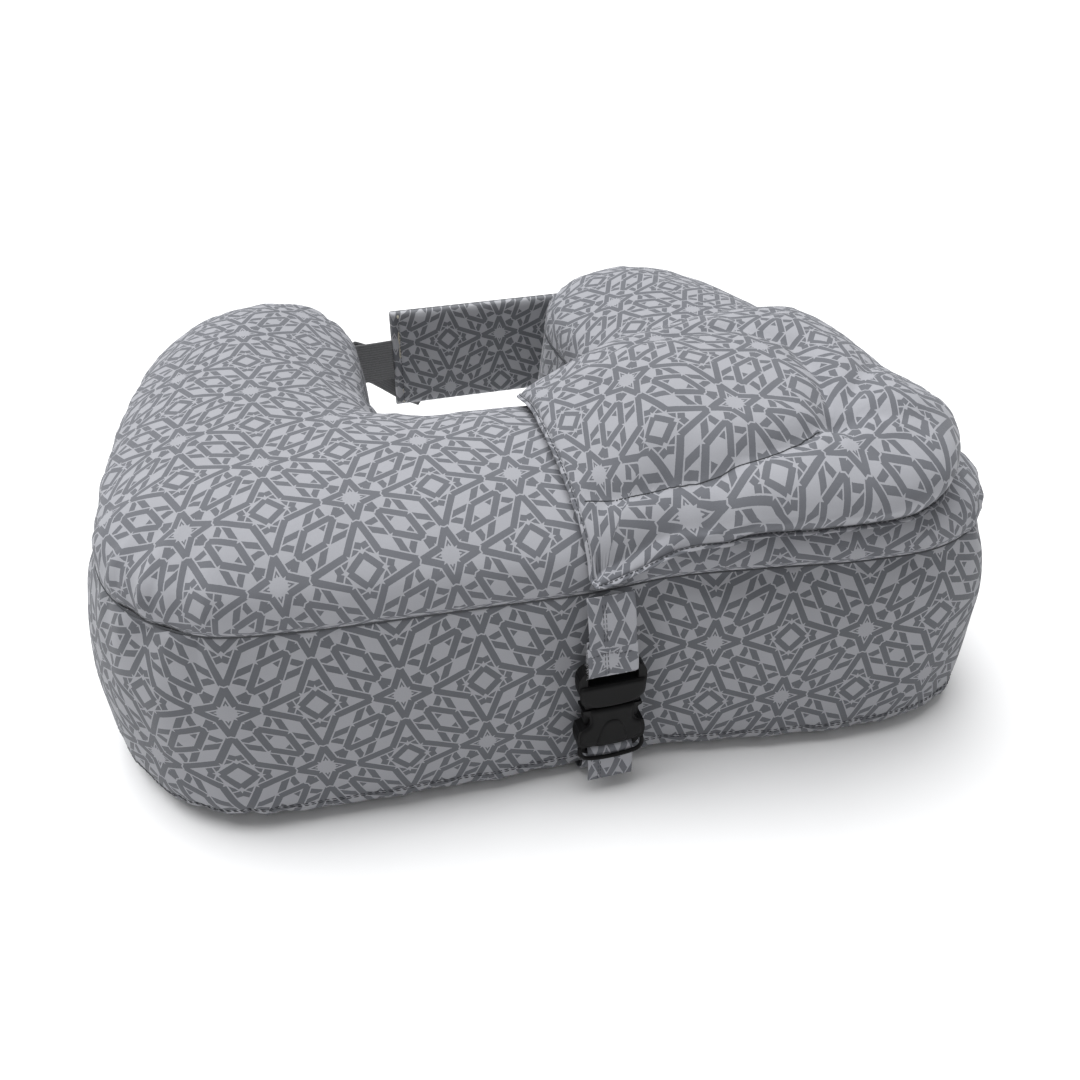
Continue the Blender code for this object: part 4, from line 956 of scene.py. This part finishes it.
# ------------------------------------------------------------------ straps and webbing
def ribbon(name, path, wide, lo, hi, thick, mat, body, replaces=(), soft=0.0, count=None, uv0=0.0, curl=0.0, seed=1.0):
    """A sewn strap swept along a smooth path. wide is the axis across it; its edges are rounded."""
    path = np.asarray(path, float)
    line = spline(path, (len(path) - 1) * 8)
    length = np.linalg.norm(np.diff(line, axis=0), axis=1).sum()
    line = even(line, count or max(12, int(length / 0.0016)))
    t = np.gradient(line, axis=0)
    t /= np.linalg.norm(t, axis=1, keepdims=True)
    across = np.array(wide, float)
    nrm = np.cross(t, across)
    nrm /= np.linalg.norm(nrm, axis=1, keepdims=True)
    s = np.r_[0, np.cumsum(np.linalg.norm(np.diff(line, axis=0), axis=1))]
    width, r = hi - lo, thick / 2
    prof = []
    C = 14
    for k in range(C + 1):
        prof.append((lo + r * 0.6 + (width - r * 1.2) * k / C, r, k / C))
    for k in range(1, 4):
        prof.append((hi - r * 0.6 + r * math.sin(math.pi * k / 4), r * math.cos(math.pi * k / 4), 1.0))
    for k in range(C + 1):
        prof.append((hi - r * 0.6 - (width - r * 1.2) * k / C, -r, 1 - k / C))
    for k in range(1, 4):
        prof.append((lo + r * 0.6 - r * math.sin(math.pi * k / 4), -r * math.cos(math.pi * k / 4), 0.0))
    m = len(prof)
    rows = []
    for i in range(len(line)):
        row = []
        for w, h, f in prof:
            wob = soft * noise.noise(Vector((s[i] / 0.012, f * 2.2, seed)))
            edge = curl * (2 * abs(f - 0.5)) ** 4
            row.append(line[i] + across * w + nrm[i] * (h + wob - edge))
        rows.append(row)
    verts = np.array(rows).reshape(-1, 3)
    faces = []
    for i in range(len(line) - 1):
        for k in range(m):
            q = (k + 1) % m
            faces.append((i * m + k, i * m + q, (i + 1) * m + q, (i + 1) * m + k))
    faces.append(tuple(reversed(range(m))))
    faces.append(tuple((len(line) - 1) * m + k for k in range(m)))
    uv = np.array([[(s[i] + uv0, w) for w, h, f in prof] for i in range(len(line))]).reshape(-1, 2)
    obj = mesh_object(name, verts, faces, uv, mat, weld=0)
    face_out(obj)
    obj.data.set_sharp_from_angle(angle=math.radians(60))
    place(obj, body, replaces)
    return line, nrm, t


S_LO, S_HI = STRAP_X - STRAP_W / 2, STRAP_X + STRAP_W / 2
X_AX = (1.0, 0.0, 0.0)


def yz(points):
    return [(0.0, y, z) for y, z in points]


HEAD_STRAP = yz([(FY + 0.0040, FZ + 0.0830), (FY + 0.0036, FZ + 0.0720), (FY + 0.0036, FZ + 0.0640),
                 (FY + 0.0022, FZ + 0.0612), (FY - 0.0010, FZ + 0.0610), (FY - 0.0036, FZ + 0.0640),
                 (FY - 0.0040, FZ + 0.0700), (FY - 0.0014, FZ + 0.0820), (FY + 0.0012, FZ + 0.0950),
                 (FY + 0.0044, FZ + 0.1060), (FY + 0.0074, FZ + 0.1125)])
BELT = yz([(FY - 0.0056, FZ - 0.0190), (FY - 0.0060, FZ - 0.0100), (FY - 0.0046, FZ - 0.0010),
           (FY - 0.0040, FZ + 0.0040), (FY - 0.0012, FZ + 0.0060), (FY + 0.0024, FZ + 0.0058),
           (FY + 0.0042, FZ + 0.0030), (FY + 0.0050, FZ - 0.0060), (FY + 0.0066, FZ - 0.0180),
           (-0.2085, 0.0040), (-0.2030, 0.0014), (-0.1900, 0.0013), (-0.1600, 0.0013), (-0.1000, 0.0013), (-0.0400, 0.0013), (-0.0180, 0.0013),
           (-0.0050, 0.0015), (0.0008, 0.0050), (0.0022, 0.0200), (0.0030, 0.0550), (0.0030, 0.0850),
           (0.0008, 0.1150), (-0.0060, 0.1400), (-0.0130, 0.1520)])
hl, hn, _ = ribbon("head_strap_cloth", HEAD_STRAP, X_AX, S_LO, S_HI, STRAP_T, MAT_STRAP, "head_pillow", ("head_strap",), soft=0.0004, seed=2.0)
bl, bn, _ = ribbon("belt_cloth", BELT, X_AX, S_LO, S_HI, 0.0013, MAT_STRAP, "cushion", ("belt_under_bar",), soft=0.0002, uv0=0.05, seed=5.0)
# the turned end of the head strap is sewn down over its front, a little askew
fold = yz([(FY - 0.0052, FZ + 0.0650), (FY - 0.0050, FZ + 0.0700), (FY - 0.0026, FZ + 0.0790), (FY - 0.0020, FZ + 0.0815), (FY - 0.0009, FZ + 0.0822)])
ribbon("head_strap_turned_end", fold, X_AX, S_LO - 0.0014, S_HI + 0.0004, 0.0010, MAT_STRAP, "head_pillow", soft=0.0003, uv0=0.021, seed=8.0)


def front_rows(line, nrm, x, z_lo, z_hi, y_max):
    keep = (line[:, 2] > z_lo) & (line[:, 2] < z_hi) & (line[:, 1] < y_max)
    pts, nn = line[keep].copy(), nrm[keep].copy()
    pts[:, 0] = x
    nn[nn[:, 1] > 0] *= -1
    return pts + nn * STRAP_T / 2, nn


for k, x in enumerate((S_LO + 0.0085, S_LO + 0.0102)):
    pts, nn = front_rows(hl, hn, x, FZ + 0.084, FZ + 0.1125, FY + 0.0080)
    if len(pts) > 3:
        stitches("head_strap_long_stitches_%d" % (k + 1), pts, nn, "head_pillow", pitch=0.0030, length=0.0022, radius=0.00020)
    pts = np.array([(x, FY - 0.0058, FZ + 0.0655), (x, FY - 0.0056, FZ + 0.0700), (x, FY - 0.0032, FZ + 0.0790), (x, FY - 0.0026, FZ + 0.0810)])
    stitches("turned_end_long_stitches_%d" % (k + 1), pts, np.tile((0, -1.0, 0.15), (4, 1)), "head_pillow", pitch=0.0030, length=0.0022, radius=0.00020)
pts = np.array([(x, FY - 0.0034, FZ + 0.0785 + 0.0008 * math.sin(x * 300)) for x in np.linspace(S_LO, S_HI - 0.0006, 16)])
stitches("turned_end_cross_stitches", pts, np.tile((0, -1.0, 0.2), (16, 1)), "head_pillow", pitch=0.0028, length=0.0021, radius=0.00020, mat=MAT_THREAD)
for k, x in enumerate((S_LO + 0.0060, S_LO + 0.0074)):
    pts = np.array([(x, FY - 0.0056 - 0.0007, FZ - 0.0188), (x, FY - 0.0060 - 0.0007, FZ - 0.0100), (x, FY - 0.0048 - 0.0007, FZ - 0.0010)])
    stitches("belt_long_stitches_%d" % (k + 1), pts, np.tile((0, -1.0, 0), (3, 1)), "cushion", pitch=0.0030, length=0.0022, radius=0.00020)
# frayed threads at the raw left edge of the turned end
rng = np.random.default_rng(7)
verts, faces = [], []
for n in range(46):
    z = FZ + 0.0640 + rng.random() * 0.0180
    f = (z - FZ - 0.065) / 0.017
    y = FY - 0.0052 + 0.0042 * max(0, f)
    p0 = np.array((S_LO - 0.0008, y, z))
    dirn = np.array((-1.0, -0.2 + 0.4 * rng.random(), -0.9 + 1.2 * rng.random()))
    dirn /= np.linalg.norm(dirn)
    L = 0.0008 + 0.0016 * rng.random()
    p1, p2 = p0 + dirn * L * 0.5, p0 + dirn * L + np.array((0, 0, -0.0004))
    b = len(verts)
    for p, r in ((p0, 0.00010), (p1, 0.00009), (p2, 0.00004)):
        verts += [p + np.array((0, r, r)), p + np.array((0, -r, r)), p + np.array((0, 0, -r))]
    for k in range(2):
        for q in range(3):
            w = (q + 1) % 3
            faces.append((b + 3 * k + q, b + 3 * k + w, b + 3 * k + 3 + w, b + 3 * k + 3 + q))
    faces += [(b, b + 2, b + 1), (b + 6, b + 7, b + 8)]
fray = mesh_object("frayed_edge_threads", verts, faces, mat=MAT_THREAD_PALE, weld=0)
face_out(fray)
place(fray, "head_pillow")

# ------------------------------------------------------------------ waist webbing
Z_AX = (0.0, 0.0, 1.0)
WX, WY, WZ = WAIST_X0, WAIST_Y, WAIST_Z
w_lo, w_hi = WZ - WEBBING_W / 2, WZ + WEBBING_W / 2
BAR_U = WX + 1.13 * 0.0645


def xy_path(points):
    return [(x, y, 0.0) for x, y in points]


ribbon("waist_anchor_webbing", xy_path([(WX - 0.0370, WY - 0.0090), (WX - 0.0140, WY - 0.0044), (WX - 0.0020, WY - 0.0036),
                                        (WX + 0.0056, WY - 0.0034), (WX + 0.0076, WY), (WX + 0.0056, WY + 0.0036),
                                        (WX - 0.0020, WY + 0.0040), (WX - 0.0140, WY + 0.0012)]), Z_AX, w_lo, w_hi, WEBBING_T, MAT_WEB,
       "cushion", ("waist_anchor_tab",))
ribbon("waist_webbing_loop", xy_path([(PANEL_X[0] - 0.0006, WY - 0.0010), (PANEL_X[0] - 0.016, WY - 0.0026), (BAR_U + 0.0060, WY - 0.0038),
                                      (BAR_U, WY - 0.0038), (BAR_U - 0.0038, WY - 0.0030), (BAR_U - 0.0050, WY),
                                      (BAR_U - 0.0038, WY + 0.0030), (BAR_U, WY + 0.0038), (BAR_U + 0.0052, WY + 0.0038)]), Z_AX, w_lo, w_hi,
       WEBBING_T, MAT_WEB, "back_panel", ("waist_webbing",))
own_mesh(bpy.data.objects["waist_webbing_loop"])


def webbing_tail():
    path = np.array([(BAR_U + 0.0062, WY + 0.0043, WZ), (BAR_U + 0.0105, WY + 0.0080, WZ - 0.002), (BAR_U + 0.034, WY + 0.0084, WZ - 0.015),
                     (BAR_U + 0.052, WY + 0.0084, WZ - 0.028), (BAR_U + 0.070, WY + 0.0084, WZ - 0.038)])
    tilt = np.radians([0.0, 5.0, 24.0, 32.0, 32.0])
    line = even(spline(path, 40), 50)
    a = np.interp(np.linspace(0, 1, 50), np.linspace(0, 1, 5), tilt)
    verts, uv = [], []
    C = 16
    for i in range(50):
        across = np.array((math.sin(a[i]), 0, math.cos(a[i])))
        for side in (1, -1):
            for k in range(C + 1):
                f = (k / C - 0.5) * side
                bow = 0.0004 * math.cos(f * math.pi)
                verts.append(line[i] + across * WEBBING_W * f + np.array((0, side * WEBBING_T / 2 * min(1, (0.5 - abs(f)) * 30 + 0.35) + bow, 0)))
                uv.append((i * 0.0017, WEBBING_W * f))
    m = 2 * (C + 1)
    faces = [(i * m + k, i * m + (k + 1) % m, (i + 1) * m + (k + 1) % m, (i + 1) * m + k) for i in range(49) for k in range(m)]
    faces += [tuple(reversed(range(m))), tuple(49 * m + k for k in range(m))]
    obj = mesh_object("waist_webbing_free_end", verts, faces, np.array(uv), MAT_WEB, weld=0)
    face_out(obj)
    return place(obj, "waist_plug", ("waist_webbing_tail",))


webbing_tail()

# ------------------------------------------------------------------ padded back panel
def back_panel():
    (x0, x1), (z0, z1) = PANEL_X, PANEL_Z
    nx, nz = 96, 46
    u = 0.5 - 0.5 * np.cos(np.pi * np.linspace(0, 1, nx))
    v = 0.5 - 0.5 * np.cos(np.pi * np.linspace(0, 1, nz))
    X, Z = np.meshgrid(x0 + (x1 - x0) * u, z0 + (z1 - z0) * v, indexing="ij")
    d = np.minimum(np.minimum(X - x0, x1 - X), np.minimum(Z - z0, z1 - Z))
    flat = np.c_[X.ravel(), np.zeros(X.size), Z.ravel()]
    n = (0.0009 * noise_at(flat, (0.030, 1, 0.030), 61.0) + 0.0005 * noise_at(flat, (0.012, 1, 0.012), 63.0)).reshape(X.shape)
    stitched = np.exp(-((X - x0 - 0.0060) / 0.0016) ** 2)
    half = PANEL_T / 2 * (0.30 + 0.70 * dome(d, 0.009)) + n * dome(d, 0.01) - 0.0012 * stitched * dome(d, 0.003)
    front = np.stack([X, WAIST_Y - half, Z], -1)
    back = np.stack([X, WAIST_Y + half, Z], -1)
    base = X.size
    faces = grid_faces(nx, nz) + grid_faces(nx, nz, base=base, flip=True)
    idx = np.arange(X.size).reshape(nx, nz)
    edge = np.r_[idx[:, 0], idx[-1, 1:], idx[-2::-1, -1], idx[0, -2:0:-1]]
    mid = np.stack([X, np.full_like(X, WAIST_Y), Z], -1).reshape(-1, 3)[edge].copy()
    c = np.array(((x0 + x1) / 2, WAIST_Y, (z0 + z1) / 2))
    out = np.sign(mid - c) * (np.abs(mid - c) > np.array(((x1 - x0) / 2, 1, (z1 - z0) / 2)) - 1e-5)
    rim = mid + out * 0.0008
    m = len(edge)
    for i in range(m):
        j = (i + 1) % m
        faces.append((edge[i], edge[j], 2 * base + j, 2 * base + i))
        faces.append((2 * base + i, 2 * base + j, base + edge[j], base + edge[i]))
    verts = np.vstack([front.reshape(-1, 3), back.reshape(-1, 3), rim])
    obj = mesh_object("back_panel_cloth", verts, faces, verts[:, [0, 2]], MAT_PANEL_PAINTED_LIGHT, weld=0)
    face_out(obj)
    place(obj, "back_panel", ("back_panel_inner_cover", "back_panel_outer_cover"))
    for k, side in enumerate((-1, 1)):
        y = WAIST_Y + side * (PANEL_T / 2 * 0.958 - 0.0006)
        zz = np.linspace(z0 + 0.003, z1 - 0.003, 30)
        pts = np.c_[np.full(30, x0 + 0.0060), np.full(30, y), zz]
        stitches("panel_edge_stitches_%d" % (k + 1), pts, np.tile((0, side, 0), (30, 1)), "back_panel", pitch=0.0032, length=0.0024, radius=0.00025, mat=MAT_THREAD)
    ring = np.array([(x0 - 0.0006, WAIST_Y, z0), (x0 - 0.0006, WAIST_Y, z1 + 0.0006), (x1, WAIST_Y, z1 + 0.0006), (x1, WAIST_Y, z0 - 0.0006), (x0 - 0.0006, WAIST_Y, z0 - 0.0006)])
    tube("panel_seam_thread", even(ring, 150), 0.0004, "back_panel", MAT_THREAD)


back_panel()
ribbon("panel_anchor_cloth", [(SWING_X - 0.0012, WAIST_Y - 0.0055, 0.0), (SWING_X + 0.010, WAIST_Y - 0.0055, 0.0), (SWING_X + 0.022, WAIST_Y - 0.0055, 0.0)],
       Z_AX, PANEL_Z[0] + 0.004, PANEL_Z[1] - 0.004, 0.0014, MAT_PANEL_PAINTED_LIGHT, "cushion", ("back_panel_anchor",))


# ------------------------------------------------------------------ moulded details of the buckles
def buckle_matrix(kind):
    if kind == "front":
        m = Matrix(((1, 0, 0, STRAP_X), (0, 0, -1, FY), (0, 1, 0, FZ), (0, 0, 0, 1)))
        return np.array(m)
    m = Matrix(((0, 1, 0, WAIST_X0), (0, 0, 1, WAIST_Y), (1, 0, 0, WAIST_Z), (0, 0, 0, 1))) @ Matrix.Diagonal((1.24, 1.13, 1.10, 1))
    return np.array(m)


def lens(name, outline, t0, rise, kind, body, face=1, reach=0.0045, rings=10):
    """A plate whose face swells from its outline: outline in (w, u), t0 the height of its edge."""
    M = buckle_matrix(kind)
    loop = even(outline, 96, closed=True)
    area2 = (loop[:, 0] * np.roll(loop[:, 1], -1) - np.roll(loop[:, 0], -1) * loop[:, 1]).sum()
    if area2 < 0:
        loop = loop[::-1]
    c = loop.mean(0)
    verts = []
    levels = np.linspace(1, 0.02, rings)
    for f in levels:
        ring = c + (loop - c) * f
        d, _, _ = nearest(ring, loop)
        for (w, u), dd in zip(ring, d):
            verts.append((w, u, (t0 + rise * dome(dd, reach)) * face))
    for w, u in loop:
        verts.append((w, u, (t0 - 0.0012) * face))
    v = np.c_[np.array(verts), np.ones(len(verts))] @ M.T
    m = len(loop)
    faces = []
    for r in range(rings - 1):
        for i in range(m):
            j = (i + 1) % m
            faces.append((r * m + i, r * m + j, (r + 1) * m + j, (r + 1) * m + i))
    faces.append(tuple((rings - 1) * m + i for i in range(m)))
    low = rings * m
    for i in range(m):
        j = (i + 1) % m
        faces.append((low + i, low + j, j, i))
    faces.append(tuple(reversed([low + i for i in range(m)])))
    obj = mesh_object(name, v[:, :3], faces, mat=MAT_BLACK, weld=0)
    face_out(obj)
    obj.data.set_sharp_from_angle(angle=math.radians(70))
    return place(obj, body)


def sides(half):
    return [(w, u) for w, u in half] + [(-w, u) for w, u in reversed(half)]


def buckle_details(kind, socket_body, plug_body, faces_out):
    for face in faces_out:
        tag = "%s_%s" % (kind, "face" if face > 0 else "back")
        # plug: shoulders that run into a curved lower lip over the socket's mouth
        lip = sides([tuple(p) for p in spline([(0.0, 0.0392), (0.0070, 0.0395), (0.0130, 0.0406), (0.0180, 0.0436), (0.0196, 0.0460), (0.0202, 0.0520), (0.0196, 0.0562), (0.0150, 0.0566), (0.0, 0.0566)], 40)[1:-1]])
        lens("buckle_plug_crown_" + tag, lip, 0.0050, 0.0012, kind, plug_body, face, reach=0.0022)
        # socket: raised arch, and a skirt whose lower edge curves over the slot
        skirt = sides([tuple(p) for p in spline([(0.0, 0.0078), (0.0080, 0.0082), (0.0150, 0.0100), (0.0192, 0.0128), (0.0198, 0.0175), (0.0186, 0.0225), (0.0138, 0.0262), (0.0126, 0.0300), (0.0132, 0.0350), (0.0136, 0.0384), (0.0104, 0.0388), (0.0, 0.0387)], 44)[1:-1]])
        lens("buckle_socket_skirt_" + tag, skirt, 0.0054, 0.0012, kind, socket_body, face, reach=0.0022)
        arch = sides([tuple(p) for p in spline([(0.0, 0.0300), (0.0036, 0.0286), (0.0064, 0.0240), (0.0082, 0.0180), (0.0090, 0.0112), (0.0, 0.0100)], 30)[1:-1]])
        lens("buckle_socket_arch_" + tag, arch, 0.0066, 0.0007, kind, socket_body, face, reach=0.0020)
        bar = sides([tuple(p) for p in spline([(0.0, -0.0012), (0.0090, -0.0006), (0.0160, 0.0010), (0.0200, 0.0048), (0.0206, 0.0100), (0.0172, 0.0100), (0.0168, 0.0060), (0.0150, 0.0030), (0.0080, 0.0020), (0.0, 0.0018)], 50)[1:-1]])
        M = buckle_matrix(kind)
        k = 0.0066 if kind == "front" else 0.0062
        line = np.array(spline([(-0.0196, 0.0090), (-0.0196, 0.0050), (-0.0165, 0.0014), (-0.0080, -0.0003), (0.0, -0.0007), (0.0080, -0.0003), (0.0165, 0.0014), (0.0196, 0.0050), (0.0196, 0.0090)], 60))
        tt = np.interp(np.abs(line[:, 1] - 0.0), [0.0, 0.004, 0.009], [k, k - 0.0006, k - 0.0022])
        pts = (np.c_[line, tt * face, np.ones(len(line))] @ M.T)[:, :3]
        tube("buckle_socket_bar_" + tag, pts, 0.0013, socket_body, MAT_BLACK, sides=12)


buckle_details("front", "cushion", "head_pillow", (1,))
buckle_details("waist", "cushion", "waist_plug", (1, -1))

# ------------------------------------------------------------------ zip teeth
verts, faces = [], []
for n in range(int(0.262 / 0.0016)):
    y = -0.141 + n * 0.0016
    for side in (-1, 1):
        cx = -0.170 + side * 0.0006
        yy = y + (0.0008 if side > 0 else 0)
        b = len(verts)
        for dx, dz in ((-0.0012, 0.0), (-0.0008, 0.0007), (0.0008, 0.0007), (0.0012, 0.0), (0.0008, -0.0006), (-0.0008, -0.0006)):
            verts += [(cx + dx, yy - 0.00045, 0.00225 + dz), (cx + dx, yy + 0.00045, 0.00225 + dz)]
        for k in range(6):
            q = (k + 1) % 6
            faces.append((b + 2 * k, b + 2 * q, b + 2 * q + 1, b + 2 * k + 1))
        faces += [tuple(b + 2 * k for k in range(6)), tuple(b + 2 * k + 1 for k in reversed(range(6)))]
teeth = mesh_object("zip_coil_teeth", verts, faces, mat=MAT_NYLON, weld=0)
face_out(teeth)
place(teeth, "cushion", ("zip_coil",))

# ------------------------------------------------------------------ yoke seam of the head pillow
def on_head(xy, lift):
    pts = HEAD_P.reshape(-1, 3)
    out = []
    for q in xy:
        d2 = ((pts[:, :2] - q) ** 2).sum(1)
        k = np.argsort(d2)[:6]
        w = 1 / (d2[k] + 1e-8)
        out.append((q[0], q[1], (pts[k, 2] * w).sum() / w.sum() + lift))
    return np.array(out)


yoke = even(spline([(0.005, -0.1756), (0.030, -0.179), (0.055, -0.181), (0.080, -0.182), (0.105, -0.181), (0.128, -0.178), (0.144, -0.172)], 12), 110)
yoke = head_push(np.c_[yoke, np.zeros(len(yoke))])[:, :2]
tube("head_pillow_yoke_seam", on_head(yoke, 0.0001), 0.00036, "head_pillow", MAT_THREAD, sides=6)

# ------------------------------------------------------------------ stage
floor_mesh = bpy.data.meshes.new("floor")
bm = bmesh.new()
bmesh.ops.create_grid(bm, x_segments=4, y_segments=4, size=4.0)
bm.to_mesh(floor_mesh)
bm.free()
floor = bpy.data.objects.new("floor", floor_mesh)
scene.collection.objects.link(floor)
floor.location = (0, 0, -0.0004)
floor_mesh.materials.append(noisy_material("pale_floor", (0.90, 0.90, 0.90), (0.93, 0.93, 0.93), 3.0, rough=(0.85, 0.95), bump=0.0))

world = bpy.data.worlds.new("studio")
scene.world = world
world.use_nodes = True
world.node_tree.nodes["Background"].inputs[0].default_value = (1.0, 1.0, 1.0, 1)
world.node_tree.nodes["Background"].inputs[1].default_value = 0.35
sun_data = bpy.data.lights.new("soft_overhead", "SUN")
sun_data.energy, sun_data.angle, sun_data.color = 4.0, math.radians(60), (0.985, 0.99, 1.0)
sun = bpy.data.objects.new("soft_overhead", sun_data)
scene.collection.objects.link(sun)
sun.rotation_mode = "QUATERNION"
sun.rotation_quaternion = Vector((0.17, -0.30, -1.0)).to_track_quat("-Z", "Y")
scene.view_settings.view_transform = "Standard"
